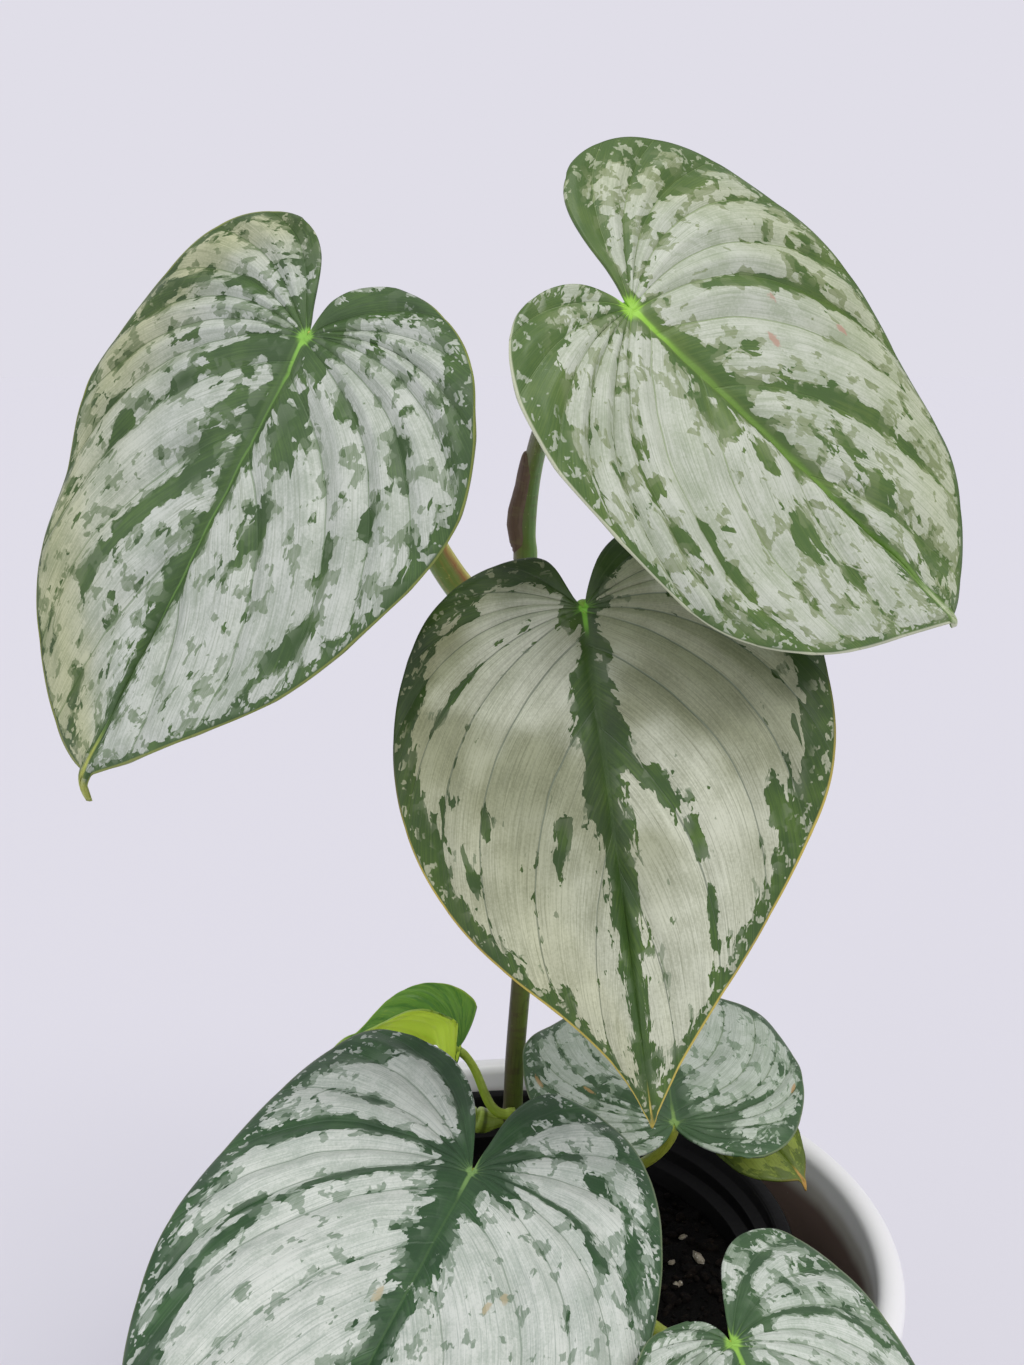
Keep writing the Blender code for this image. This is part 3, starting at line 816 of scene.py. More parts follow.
@dataclass(frozen=True)
class SoilFinish:
    """Moist dark potting mix, or the crumbs and grit on it."""

    name: str
    dark: str
    light: str
    fleck: str
    fleck_from: float

    def make(self) -> bpy.types.Material:
        """Makes the finish from the place on the piece."""
        graph = Graph(self.name)
        place = graph.object_place()
        clods = graph.grain(place, 320.0, 6.0, 0.7)
        grit = graph.grain(place, 1500.0, 3.0, 0.6)
        flecks = grit.step(self.fleck_from, self.fleck_from + 0.05)
        return graph.dress(
            Base_Color=graph.layers(self.dark, (self.light, clods.step(0.42, 0.72)), (self.fleck, flecks)),
            Roughness=0.88,
            Normal=graph.bump(clods + grit * 0.5, 0.0008, 1.0),
            Specular_IOR_Level=0.12,
        )


@dataclass(frozen=True)
class FloorFinish:
    """The pale studio sweep."""

    colour: str = "#e0dee7"

    def make(self) -> bpy.types.Material:
        """Makes the even matt finish."""
        return Graph("studio floor").dress(Base_Color=self.colour, Roughness=1.0, Specular_IOR_Level=0.0)


def placed(name: str, data: bpy.types.ID) -> bpy.types.Object:
    """Puts an object in the scene.

    Args:
        name: The object's name.
        data: Its mesh, lamp or camera.

    Returns:
        The object.
    """
    made = bpy.data.objects.new(name, data)
    bpy.context.scene.collection.objects.link(made)
    return made


def as_mesh(name: str, shape: bmesh.types.BMesh, materials: Sequence[bpy.types.Material]) -> bpy.types.Mesh:
    """Turns a finished shape into a mesh.

    Args:
        name: The mesh's name.
        shape: The shape. It is freed.
        materials: Its finishes, in slot order.

    Returns:
        The mesh.
    """
    mesh = bpy.data.meshes.new(name)
    shape.to_mesh(mesh)
    shape.free()
    for material in materials:
        mesh.materials.append(material)
    return mesh


def as_piece(
    name: str,
    shape: bmesh.types.BMesh,
    materials: Sequence[bpy.types.Material],
    nodes: Sequence[str],
) -> bpy.types.Object:
    """Turns a finished shape into a piece of the model.

    Args:
        name: The piece's name.
        shape: Its shape, in place. It is freed.
        materials: Its finishes, in slot order.
        nodes: The solids that the piece stands for.

    Returns:
        The new piece.
    """
    piece = placed(name, as_mesh(name, shape, materials))
    piece.data.shade_smooth()
    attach(piece, BODY)
    if nodes:
        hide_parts(*nodes)
    LOG.info("%s: %d faces", name, len(piece.data.polygons))
    return piece


def lathe(profile: Profile, steps: int, centre: Vector) -> bmesh.types.BMesh:
    """Spins a profile into a closed solid.

    Args:
        profile: Radius and height pairs in millimetres, from the axis round to the axis.
        steps: How many steps a full turn takes.
        centre: The axis's place in the frame, in metres.

    Returns:
        The turned shape.
    """
    shape = bmesh.new()
    verts = [shape.verts.new((radius * MM, 0.0, height * MM)) for radius, height in profile]
    for first, second in zip(verts, verts[1:]):
        shape.edges.new((first, second))
    bmesh.ops.spin(
        shape,
        geom=list(shape.verts) + list(shape.edges),
        cent=(0, 0, 0),
        axis=(0, 0, 1),
        angle=math.tau,
        steps=steps,
        use_merge=True,
    )
    bmesh.ops.remove_doubles(shape, verts=shape.verts, dist=MERGE_MM * MM)
    bmesh.ops.recalc_face_normals(shape, faces=shape.faces)
    bmesh.ops.translate(shape, verts=shape.verts, vec=centre)
    return shape


def straight(start: Tuple[float, float], end: Tuple[float, float], shares: Sequence[float]) -> Profile:
    """Points on a straight stretch of a turned profile, at shares of the way from its start to its end."""
    return [(start[0] + (end[0] - start[0]) * share, start[1] + (end[1] - start[1]) * share) for share in shares]


def rounded(corner: Tuple[float, float], radius: float, start: float, end: float, steps: int) -> Profile:
    """Points round an arc of a turned profile.

    Args:
        corner: The arc's centre as radius and height, in millimetres.
        radius: The arc's own radius.
        start: Its first angle in degrees.
        end: Its last angle.
        steps: How many steps it takes.

    Returns:
        Radius and height pairs.
    """
    angles = [math.radians(start + (end - start) * step / steps) for step in range(steps + 1)]
    return [(corner[0] + radius * math.cos(angle), corner[1] + radius * math.sin(angle)) for angle in angles]


@dataclass
class Cachepot:
    """The white outer pot."""

    radius: float = 76.0
    wall: float = 5.5
    foot_radius: float = 64.0
    foot_round: float = 7.0
    floor: float = 8.0
    band: float = 1.0
    band_height: float = 22.0
    shoulder: float = 10.0
    steps: int = 180
    glaze: GlazeFinish = field(default_factory=GlazeFinish)

    def profile(self) -> Profile:
        """The turned profile, from the inner floor up over the rim and down to the foot."""
        lip = self.wall / 2
        inner_top = self.radius - self.wall
        inner_foot = self.foot_radius - self.wall
        inner_low = self.floor + self.foot_round
        band_foot = (self.radius - self.band, RIM_Z - self.band_height)
        points = [(0.0, self.floor), (20.0, self.floor), (40.0, self.floor)]
        points += rounded((inner_foot - self.foot_round, inner_low), self.foot_round, -90, 0, 8)
        points += straight((inner_foot, inner_low), (inner_top, RIM_Z - self.shoulder), (0.25, 0.5, 0.75, 0.92))
        points += rounded((inner_top + lip, RIM_Z - lip), lip, 180, 0, 14)
        points += [(self.radius - 0.35, RIM_Z - 8.0), band_foot]
        points += straight((self.foot_radius, self.foot_round), band_foot, (0.75, 0.5, 0.25))
        points += rounded((self.foot_radius - self.foot_round, self.foot_round), self.foot_round, 0, -90, 8)
        points += [(30.0, 0.0), (0.0, 0.0)]
        return points

    def build(self) -> None:
        """Builds the pot and marks its inner wall for the glaze."""
        shape = lathe(self.profile(), self.steps, Vector((0, 0, 0)))
        inside = shape.verts.layers.float.new("inside")
        for vert in shape.verts:
            reach = math.hypot(vert.co.x, vert.co.y)
            height = vert.co.z / (RIM_Z * MM)
            middle = (self.foot_radius + (self.radius - self.foot_radius) * height - self.wall * 0.5) * MM
            vert[inside] = 1.0 if reach < middle and vert.co.z > 0.5 * self.floor * MM else 0.0
        as_piece("outer_pot_dressed", shape, [self.glaze.make()], ["outer_pot"])


@dataclass
class NurseryPot:
    """The thin black pot that stands in the cachepot, with its stepped rim."""

    centre: Tuple[float, float] = (-3.4, 8.0)
    rim_radius: float = 60.0
    rim_z: float = RIM_Z - 5.5
    lip: float = 3.3
    foot_radius: float = 42.0
    wall: float = 1.6
    base_z: float = 8.3
    skirt: float = 14.0
    floor: float = 1.8
    soften: float = 0.25
    edge: float = 0.8
    steps: int = 180
    stairs: Tuple[Tuple[float, float], ...] = ((0.0, 0.8), (0.8, 3.2), (3.0, 4.0), (3.4, 7.0), (6.2, 7.8))
    plastic: PlasticFinish = field(default_factory=PlasticFinish)

    def middle(self) -> Vector:
        """The pot's axis in the frame, in metres."""
        return Vector((*self.centre, 0.0)) * MM

    def wall_radius(self, z: float) -> float:
        """Measures the plain wall under the rim's steps.

        Args:
            z: A height in millimetres.

        Returns:
            The wall's inner radius there, in millimetres.
        """
        inset, drop = self.stairs[-1]
        top_radius, top_z = self.rim_radius - self.lip - inset, self.rim_z - drop
        low = self.base_z + self.floor
        foot = self.foot_radius - self.wall
        return foot + (top_radius - foot) * clamp((z - low) / (top_z - low))

    def build(self) -> None:
        """Builds the pot, with each step of its rim softened."""
        inner = self.rim_radius - self.lip
        points = [(0.0, self.base_z + self.floor), (self.wall_radius(0), self.base_z + self.floor)]
        corners = [(inner - inset, self.rim_z - drop) for inset, drop in reversed(self.stairs)]
        for place, (radius, height) in enumerate(corners):
            if place % 2:
                points += [(radius, height - self.soften), (radius + self.soften, height)]
            else:
                points += [(radius - self.soften, height), (radius, height + self.soften)]
        edge_z, skirt_z = self.rim_z - self.edge, self.rim_z - self.skirt
        points += rounded((inner + self.edge, edge_z), self.edge, 180, 90, 4)
        points += rounded((self.rim_radius - self.edge, edge_z), self.edge, 90, 0, 4)
        points += [(self.rim_radius - self.edge, skirt_z), (self.wall_radius(skirt_z) + self.wall, skirt_z)]
        points += [(self.foot_radius + 1.0, self.base_z + 3.0), (self.foot_radius - 1.0, self.base_z)]
        points.append((0.0, self.base_z))
        shape = lathe(points, self.steps, self.middle())
        piece = as_piece("nursery_pot_dressed", shape, [self.plastic.make()], ["nursery_pot"])
        piece.data.set_sharp_from_angle(angle=math.radians(50))


@dataclass
class SoilBed:
    """The soil in the nursery pot: a crumbly surface with loose crumbs, bark and grit on it."""

    pot: NurseryPot
    gap: float = 0.3
    rings: int = 84
    spokes: int = 200
    crumbs: int = 1500
    crumb_sizes: Tuple[float, ...] = (0.5, 0.6, 0.8, 0.8, 1.1, 1.5)
    pale_share: float = 0.045
    flat_share: float = 0.04
    seed: int = 11
    earth: SoilFinish = SoilFinish("potting soil", "#060505", "#110d0c", "#5b4c3e", 0.72)
    bark: SoilFinish = SoilFinish("crumbs and bark", "#0b0808", "#221a15", "#7a6a58", 0.72)
    grit: SoilFinish = SoilFinish("pale grit", "#8d8273", "#c9c2b4", "#efece4", 0.60)

    def surface(self, x: float, y: float) -> float:
        """Measures how far the surface lies over the plain soil.

        Args:
            x: The place's first number, in millimetres.
            y: Its second.

        Returns:
            The height in millimetres.
        """
        where = Vector((x, y, 3.0))
        broad = noise.noise(where * 0.05) * 1.3
        clods = noise.fractal(where * 0.22, 0.6, 2.1, 4) * 0.9
        return broad + clods - 0.2

    def build(self) -> None:
        """Builds the bed and what lies on it."""
        top = self.pot.wall_radius(SOIL_Z) - self.gap
        bottom_z = self.pot.base_z + self.pot.floor + self.gap
        bottom = self.pot.wall_radius(bottom_z) - self.gap
        profile = [(top * (ring / self.rings), SOIL_Z) for ring in range(self.rings + 1)]
        profile += straight((top, SOIL_Z), (bottom, bottom_z), (0.1, 0.4, 0.7, 1.0))
        profile.append((0.0, bottom_z))
        centre = self.pot.middle()
        shape = lathe(profile, self.spokes, centre)
        for vert in shape.verts:
            if vert.co.z > (SOIL_Z - 0.5) * MM:
                reach = (vert.co.xy - centre.xy).length / (top * MM)
                ease = clamp((1 - reach) / self.flat_share)
                vert.co.z += self.surface(vert.co.x / MM, vert.co.y / MM) * MM * ease
        as_piece("soil_dressed", shape, [self.earth.make()], ["soil"])
        self.scatter(top, centre)

    def scatter(self, top: float, centre: Vector) -> None:
        """Lays crumbs, bark and grit on the bed, each a small uneven lump.

        Args:
            top: The bed's radius in millimetres.
            centre: The bed's middle in metres.
        """
        draw = random.Random(self.seed)
        shape = bmesh.new()
        for _ in range(self.crumbs):
            reach = (top - 1.5) * math.sqrt(draw.random())
            angle = draw.uniform(0, math.tau)
            size = draw.choice(self.crumb_sizes)
            kind = 1 if draw.random() < self.pale_share else 0
            place = centre / MM + Vector((reach * math.cos(angle), reach * math.sin(angle), 0))
            place.z = SOIL_Z + self.surface(place.x, place.y) + 0.25 * size
            made = bmesh.ops.create_icosphere(shape, subdivisions=1, radius=size * MM)["verts"]
            stretch = Vector((draw.uniform(0.6, 1.7), draw.uniform(0.6, 1.1), draw.uniform(0.35, 0.8)))
            for vert in made:
                vert.co *= draw.uniform(0.75, 1.2)
                vert.co = vert.co * stretch
            turn = Euler((draw.uniform(-0.5, 0.5), draw.uniform(-0.5, 0.5), draw.uniform(0, math.tau))).to_matrix()
            bmesh.ops.transform(shape, matrix=Matrix.Translation(place * MM) @ turn.to_4x4(), verts=made)
            for face in {face for vert in made for face in vert.link_faces}:
                face.material_index = kind
        as_piece("soil_crumbs", shape, [self.bark.make(), self.grit.make()], [])


def sweep(points: Sequence[Vector], radii: Sequence[float], sides: int, flat: float = 1.0) -> bmesh.types.BMesh:
    """Draws a round section along a path, closed and rounded at both ends, with its own map.

    Args:
        points: The path in millimetres.
        radii: The section's radius at each point.
        sides: How many sides the section has.
        flat: The section's depth as a share of its width.

    Returns:
        The swept shape. Its map runs round the section once, and along it in centimetres.
    """
    shape = bmesh.new()
    ring_of = shape.verts.layers.float.new("ring")
    turn_of = shape.verts.layers.float.new("turn")
    left_of = shape.verts.layers.float.new("left_mm")
    count = len(points)
    tangents = [(points[min(i + 1, count - 1)] - points[max(i - 1, 0)]).normalized() for i in range(count)]
    side = tangents[0].cross(Vector((0, -1, 0.05))).normalized()
    lengths = [0.0]
    for first, second in zip(points, points[1:]):
        lengths.append(lengths[-1] + (second - first).length)
    ring = list(bmesh.ops.create_circle(shape, segments=sides, radius=1.0, cap_ends=True)["verts"])
    for index, vert in enumerate(ring):
        vert[turn_of] = index / sides
    for step, (point, radius, tangent) in enumerate(zip(points, radii, tangents)):
        side = (side - tangent * side.dot(tangent)).normalized()
        other = tangent.cross(side)
        if step:
            members = set(ring)
            near = {edge for vert in ring for edge in vert.link_edges}
            edges = [edge for edge in near if set(edge.verts) <= members]
            grown = bmesh.ops.extrude_edge_only(shape, edges=edges)["geom"]
            ring = [item for item in grown if isinstance(item, bmesh.types.BMVert)]
        for vert in ring:
            angle = vert[turn_of] * math.tau
            vert.co = (point + side * (radius * math.cos(angle)) + other * (radius * flat * math.sin(angle))) * MM
            vert[ring_of] = lengths[step] / MM_PER_CM
            vert[left_of] = lengths[-1] - lengths[step]
    bmesh.ops.contextual_create(shape, geom=ring)
    bmesh.ops.recalc_face_normals(shape, faces=shape.faces)
    layer = shape.loops.layers.uv.new("stalk")
    for face in shape.faces:
        turns = [loop.vert[turn_of] for loop in face.loops]
        wraps = len(turns) == 4 and max(turns) - min(turns) > 0.5
        for loop, turn in zip(face.loops, turns):
            loop[layer].uv = (turn + 1.0 if wraps and turn < 0.5 else turn, loop.vert[ring_of])
    return shape


@dataclass
class MainStem:
    """The climbing stem with its rings, and the bud at its foot."""

    radius: float = 2.2
    route: Tuple[Tuple[float, float, float], ...] = (
        (-3.7, 31.5, 0.0),
        (-3.4, 31.9, 34.0),
        (-1.2, 30.5, 70.0),
        (-1.7, 26.5, 118.0),
        (-1.1, 21.5, 156.4),
    )
    rings_at: Tuple[float, ...] = (12.0, 24.0, 66.0, 108.0, 135.0)
    swelling: float = 0.5
    swelling_length: float = 3.0
    ridge: float = 0.22
    ridge_width: float = 0.45
    ridge_over: float = 1.4
    seat_gap: float = 0.3
    seat_room: float = 0.18
    top_gap: float = 0.45
    depth: float = 15.7
    steps: int = 330
    bark: StalkFinish = BARK
    bud: StalkFinish = BUD
    bud_from: float = 6.8
    bud_heading: float = 190.0
    bud_bend: Tuple[Tuple[float, float], ...] = ((4, 0), (7, 1), (9, 4))
    bud_steps: int = 48
    bud_radii: Tuple[float, ...] = (1.5, 2.1, 2.7, 3.0, 3.0, 2.7, 2.2, 1.6, 0.9)

    def top(self) -> float:
        """The height where the stem ends, in millimetres."""
        return SOIL_Z + self.route[-1][2]

    def point(self, z: float) -> Vector:
        """Finds the stem's axis.

        Args:
            z: A height in millimetres.

        Returns:
            The axis's place at that height.
        """
        heights = [SOIL_Z + place[2] for place in self.route]
        index = 0
        while index < len(heights) - 2 and z > heights[index + 1]:
            index += 1
        before = self.route[max(index - 1, 0)]
        start, end = self.route[index], self.route[index + 1]
        after = self.route[min(index + 2, len(self.route) - 1)]
        share = clamp((z - heights[index]) / (heights[index + 1] - heights[index]))
        place = []
        for axis in range(2):
            leaving = start[axis] + (end[axis] - before[axis]) / 6
            arriving = end[axis] - (after[axis] - start[axis]) / 6
            place.append(cubic(start[axis], leaving, arriving, end[axis], share))
        return Vector((*place, z))

    def axis(self, z: float) -> Vector:
        """The stem's upward direction at a height."""
        return (self.point(min(z + 1, self.top())) - self.point(z - 1)).normalized()

    def side(self, z: float, heading: float) -> Vector:
        """The direction square to the stem that looks along a compass heading in degrees."""
        return square_to(self.axis(z), heading)

    def swollen(self, z: float) -> float:
        """The solids' stem radius at a height."""
        nearest = max(hump(z - SOIL_Z - ring, self.swelling_length) for ring in self.rings_at)
        return self.radius + self.swelling * nearest

    def thickness(self, z: float) -> float:
        """The stem's radius at a height, with a fine ridge at each ring."""
        nearest = max(hump(z - SOIL_Z - ring - self.ridge_over, self.ridge_width) for ring in self.rings_at)
        return self.swollen(z) + nearest * self.ridge

    def seat(self, z: float, heading: float, radius: float) -> Vector:
        """Where a stalk of a radius starts in the solids, on the stem's side."""
        return self.point(z) + self.side(z, heading) * (self.swollen(z) + self.seat_gap + self.seat_room * radius)

    def build(self) -> None:
        """Builds the stem and the bud."""
        low = SOIL_Z - self.depth
        heights = [low + (self.top() - low) * step / self.steps for step in range(self.steps + 1)]
        shape = sweep([self.point(z) for z in heights], [self.thickness(z) for z in heights], 24)
        as_piece("main_stem_dressed", shape, [self.bark.make()], ["main_stem"])
        self.build_bud()

    def build_bud(self) -> None:
        """Builds the bent bud at the stem's foot, with a groove that parts its two scales."""
        from_z = RIM_Z + self.bud_from
        start = self.seat(from_z, self.bud_heading, self.bud_radii[0])
        away = self.side(from_z, self.bud_heading)
        bent = [start + away * out + Vector((0, 0, up)) for out, up in self.bud_bend]
        shares = [step / self.bud_steps for step in range(self.bud_steps + 1)]
        points = [start - away * 1.2] + [cubic(start, *bent, share) for share in shares]
        groove = [0.9 * hump(share - 0.56, 0.055) for share in shares]
        spread = [self.bud_radii[0]]
        spread += [between(self.bud_radii, share) - depth for share, depth in zip(shares, groove)]
        spread[-2] *= 0.75
        spread[-1] *= 0.25
        shape = sweep(points, spread, 28, 0.9)
        as_piece("side_shoot_dressed", shape, [self.bud.make()], ["side_shoot"])


@dataclass
class LeafBlade:
    """One leaf blade, shaped on a grid that follows its veins.

    Lengths are in millimetres and turns in degrees. The greens are how wide the green runs along margin, midrib
    and veins, and the leans how strongly it shows there.
    """

    name: str
    joint: Tuple[float, float, float]
    azimuth: float
    pitch: float
    twist: float
    length: float
    drip: float
    plus: Half
    minus: Half
    bend: Bend
    finish: LeafFinish
    splashes: Tuple[Splash, ...] = ()
    margin_green: Tuple[float, float] = (4.0, 4.0)
    rib_green: float = 3.0
    vein_green: float = 1.5
    rows: int = 150
    columns: int = 44
    thickness: float = 0.55
    merge: float = 0.012
    quilt: float = 0.7
    furrow: float = 0.45
    scars: Tuple[Splash, ...] = ()
    heart_green: float = 0.2
    vein_lean: float = 0.3
    shoulder: float = 0.40
    drip_from: float = 0.94
    drip_half: float = 0.9
    fan: float = 0.52
    bow: float = 0.17
    hang_at: float = 2.0
    hang_reach: float = 3.2
    hang_width: float = 5.2
    rib_depth: float = 0.75
    rib_width: float = 1.1
    bank: float = 0.35
    bank_at: float = 3.2
    bank_width: float = 2.2
    vein_depth: float = 0.25
    vein_width: float = 0.7
    furrow_width: float = 2.6
    quilt_reach: float = 4.5
    unevenness: float = 1.3
    margin_lean: float = 0.9
    rib_lean: float = 0.75
    heart_reach: float = 11.0

    def turned(self) -> Matrix:
        """The turn that takes the blade's own axes to the frame's."""
        angles = (math.radians(angle) for angle in (self.twist, -self.pitch, self.azimuth))
        return Euler(tuple(angles), "XYZ").to_matrix()

    def place(self) -> Vector:
        """The petiole point in the frame, in millimetres."""
        return Vector(self.joint) + Vector((0, 0, RIM_Z))

    def behind(self, depth: float, lean: float = 0.0) -> Vector:
        """The point a depth behind the petiole point and set back from the tip, in millimetres."""
        return self.place() - self.turned() @ Vector((lean, 0, depth))

    def margin(self, half: Half, share: float) -> Vector:
        """A point of one half's margin.

        Args:
            half: The half.
            share: From its lobe's top (0) round its widest place to the tip (1).

        Returns:
            The flat point in millimetres.
        """
        lobe, wide = half.lobe_rise, half.widest_at
        if share <= self.shoulder:
            return cubic(
                Vector((-lobe, half.lobe_across)),
                Vector((-lobe, half.lobe_across + 0.56 * (half.width - half.lobe_across))),
                Vector((wide - 0.56 * (wide + lobe), half.width)),
                Vector((wide, half.width)),
                share / self.shoulder,
            )
        down = clamp((share - self.shoulder) / (self.drip_from - self.shoulder))
        taper = clamp((share - self.drip_from) / (1 - self.drip_from))
        place = cubic(
            Vector((wide, half.width)),
            Vector((wide + half.flank * (self.length - wide), half.width)),
            Vector((self.length - half.tuck * (self.length - wide), half.slim * half.width)),
            Vector((self.length, self.drip_half)),
            down,
        )
        return place + Vector((self.drip * taper, -self.drip_half * taper))

    @staticmethod
    def sinus(half: Half, share: float) -> Vector:
        """A point of a lobe's inner edge.

        Args:
            half: The half.
            share: From the petiole point (0) to the lobe's top (1).

        Returns:
            The flat point in millimetres.
        """
        reach = 0.55 * half.lobe_rise
        angle = math.radians(half.sinus_angle)
        neck = max(half.lobe_across - 0.75 * half.lobe_rise, 0.3 * half.lobe_across)
        return cubic(
            Vector((0, 0)),
            Vector((-reach * math.cos(angle), reach * math.sin(angle))),
            Vector((-half.lobe_rise, neck)),
            Vector((-half.lobe_rise, half.lobe_across)),
            share,
        )

    def flat(self, half: Half, out: float, along: float) -> Vector:
        """The flat blade at a place on its own map.

        Args:
            half: Which half.
            out: Along a vein, from the midrib (0) to the margin (1).
            along: From the sinus (0) to the tip (1).

        Returns:
            The flat point in millimetres.
        """
        edge = self.margin(half, along)
        down = clamp((along - self.fan) / (1 - self.fan))
        rib = Vector(((self.length + self.drip) * down**2.4, 0))
        vein = edge - rib
        bow = self.bow * 4 * out * (1 - out) * clamp(along / 0.35) * clamp((1 - along) / 0.3)
        place = rib + vein * out + Vector((-bow * vein.y, bow * max(vein.x, 0.0)))
        hold = clamp(1 - along / 0.34) ** 2
        return place + (self.sinus(half, out) - self.margin(half, 0) * out) * hold

    def lift(self, half: Half, side: int, flat: Vector, out: float, along: float) -> float:
        """The height that the fold, curl, droop and waves give, as in the solids.

        Args:
            half: Which half.
            side: Its sign, plus or minus one.
            flat: The flat point.
            out: Its place on the map, from the midrib (0) to the margin (1).
            along: Its place from the sinus (0) to the tip (1).

        Returns:
            The height in millimetres.
        """
        bend = self.bend
        across = max(flat.y, 0.0)
        height = math.tan(math.radians(half.fold)) * across - bend.curl * (across / half.width) ** 2
        height -= bend.droop * clamp(flat.x / self.length) ** 2
        height += bend.lobe_lift * clamp(-flat.x / half.lobe_rise) ** 1.5
        across_hang = math.sin(math.pi * clamp(across / self.hang_width))
        height -= half.hang * hump(flat.x - self.hang_at, self.hang_reach) * across_hang
        ripple = math.sin(math.tau * (bend.waves * along + bend.phase + 0.3 * side))
        height += bend.wave * out**2 * ripple * math.sin(math.pi * along)
        return height - 0.8 * max(flat.x - self.length, 0.0) ** 2 / self.drip

    def relief(self, side: int, flat: Vector, out: float, vein_mm: float) -> float:
        """The fine height: sunken midrib and veins, quilting between them, and a gentle unevenness.

        Args:
            side: The half's sign.
            flat: The flat point.
            out: Its place from the midrib (0) to the margin (1).
            vein_mm: How far it is from the nearest main vein.

        Returns:
            The height in millimetres.
        """
        edge_ease = clamp((1 - out) / 0.12)
        taper = (1 - 0.7 * clamp(flat.x / self.length)) * clamp(flat.length / 7.0)
        bank = self.bank * hump(flat.y - self.bank_at, self.bank_width)
        rib = taper * (bank - self.rib_depth * hump(flat.y, self.rib_width))
        vein = self.vein_depth * hump(vein_mm, self.vein_width) * clamp(1.15 - out)
        furrow = self.furrow * hump(vein_mm, self.furrow_width) * clamp(3 * out) * clamp(1.3 - 1.2 * out)
        furrow *= clamp(flat.length / 25)
        quilt = self.quilt * clamp(vein_mm / self.quilt_reach) * edge_ease * clamp(out / 0.15)
        where = Vector((flat.x * 0.05, side * flat.y * 0.05, self.finish.seed))
        uneven = noise.noise(where) * self.unevenness * clamp(out / 0.3)
        uneven += noise.noise(where * 3.1) * 0.4 * edge_ease
        return rib - vein - furrow + quilt + uneven * clamp(self.length / 60)

    def cover(self, side: int, out: float, along: float, flat: Vector, edge_mm: float, vein_mm: float) -> float:
        """How green the blade leans at a place, before the mosaic breaks it up.

        Args:
            side: The half's sign.
            out: The place from the midrib (0) to the margin (1).
            along: The place from the sinus (0) to the tip (1).
            flat: The flat point.
            edge_mm: How far it is from the margin.
            vein_mm: How far it is from the nearest main vein.

        Returns:
            A number that is green above the finish's green_from.
        """
        width = self.margin_green[0 if side > 0 else 1] * (1 - 0.6 * clamp((along - 0.55) / 0.35))
        value = self.margin_lean * hump(edge_mm, width)
        value += self.heart_green * hump(flat.length, self.heart_reach) * (0.6 + hump(vein_mm, 0.8))
        value += self.rib_lean * hump(flat.y, self.rib_green * (1.15 - 0.6 * clamp(flat.x / self.length)))
        value += self.vein_lean * hump(vein_mm, self.vein_green) * clamp(flat.length / 30)
        return value + self.blotches(self.splashes, side * out, along)

    @staticmethod
    def blotches(group: Sequence[Splash], out: float, along: float) -> float:
        """Adds up soft round blotches.

        Args:
            group: The blotches.
            out: The place on the blade's map, with minus for the other half.
            along: The place from the sinus (0) to the tip (1).

        Returns:
            How strong they are there together.
        """
        total = 0.0
        for splash in group:
            reach = ((out - splash.out) / splash.out_size) ** 2 + ((along - splash.along) / splash.along_size) ** 2
            if reach < 6.0:
                total += splash.strength * math.exp(-reach)
        return total

    def spread(self, half: Half) -> List[List[Vector]]:
        """Works out the flat places of one half.

        Args:
            half: Which half.

        Returns:
            The places by column from the midrib out, and by row from the sinus to the tip.
        """
        outs = [column / self.columns for column in range(self.columns + 1)]
        alongs = [row / self.rows for row in range(self.rows + 1)]
        return [[self.flat(half, out, along) for along in alongs] for out in outs]

    def build(self) -> None:
        """Builds the blade, with its map and the numbers that its finish reads."""
        shape = bmesh.new()
        bmesh.ops.create_grid(shape, x_segments=2 * self.columns, y_segments=self.rows, size=1.0)
        layers = {name: shape.verts.layers.float.new(name) for name in MARKS}
        turned, place = self.turned(), self.place()
        places = {1: self.spread(self.plus), -1: self.spread(self.minus)}
        for vert in shape.verts:
            side = 1 if vert.co.x >= 0 else -1
            half = self.plus if side > 0 else self.minus
            column = round(abs(vert.co.x) * self.columns)
            row = round((vert.co.y + 1) / 2 * self.rows)
            out, along = column / self.columns, row / self.rows
            line = places[side][column]
            flat = line[row]
            above, below = min(row + 1, self.rows), max(row - 1, 0)
            row_mm = (line[above] - line[below]).length * self.rows / (above - below)
            turns = (along - VEIN_SKEW * side - VEIN_FIRST) / VEIN_STEP
            nearest = clamp(round(turns), 0, VEIN_COUNT - 1)
            vein_mm = abs(turns - nearest) * VEIN_STEP * row_mm
            edge_mm = (flat - places[side][self.columns][row]).length
            marks = (
                self.cover(side, out, along, flat, edge_mm, vein_mm),
                self.blotches(self.scars, side * out, along),
                edge_mm, max(flat.y, 0.0), row_mm, flat.length, flat.x, side * flat.y, side * out, along,
            )
            for name, mark in zip(MARKS, marks):
                vert[layers[name]] = mark
            height = self.lift(half, side, flat, out, along) + self.relief(side, flat, out, vein_mm)
            vert.co = (turned @ Vector((flat.x, side * max(flat.y, 0.0), height)) + place) * MM
        layer = shape.loops.layers.uv.new("veins")
        for face in shape.faces:
            for loop in face.loops:
                loop[layer].uv = (loop.vert[layers["map_x"]], loop.vert[layers["map_y"]])
        bmesh.ops.remove_doubles(shape, verts=shape.verts, dist=self.merge * MM)
        up = turned @ Vector((0, 0, 1))
        if sum(face.normal.dot(up) * face.calc_area() for face in shape.faces) < 0:
            bmesh.ops.reverse_faces(shape, faces=shape.faces)
        faces = [self.finish.upper(), self.finish.lower()]
        piece = as_piece(f"{self.name}_dressed", shape, faces, [self.name])
        thick = piece.modifiers.new("thickness", "SOLIDIFY")
        thick.thickness = self.thickness * MM
        thick.offset = 0.0
        thick.material_offset = 1
        thick.material_offset_rim = 0


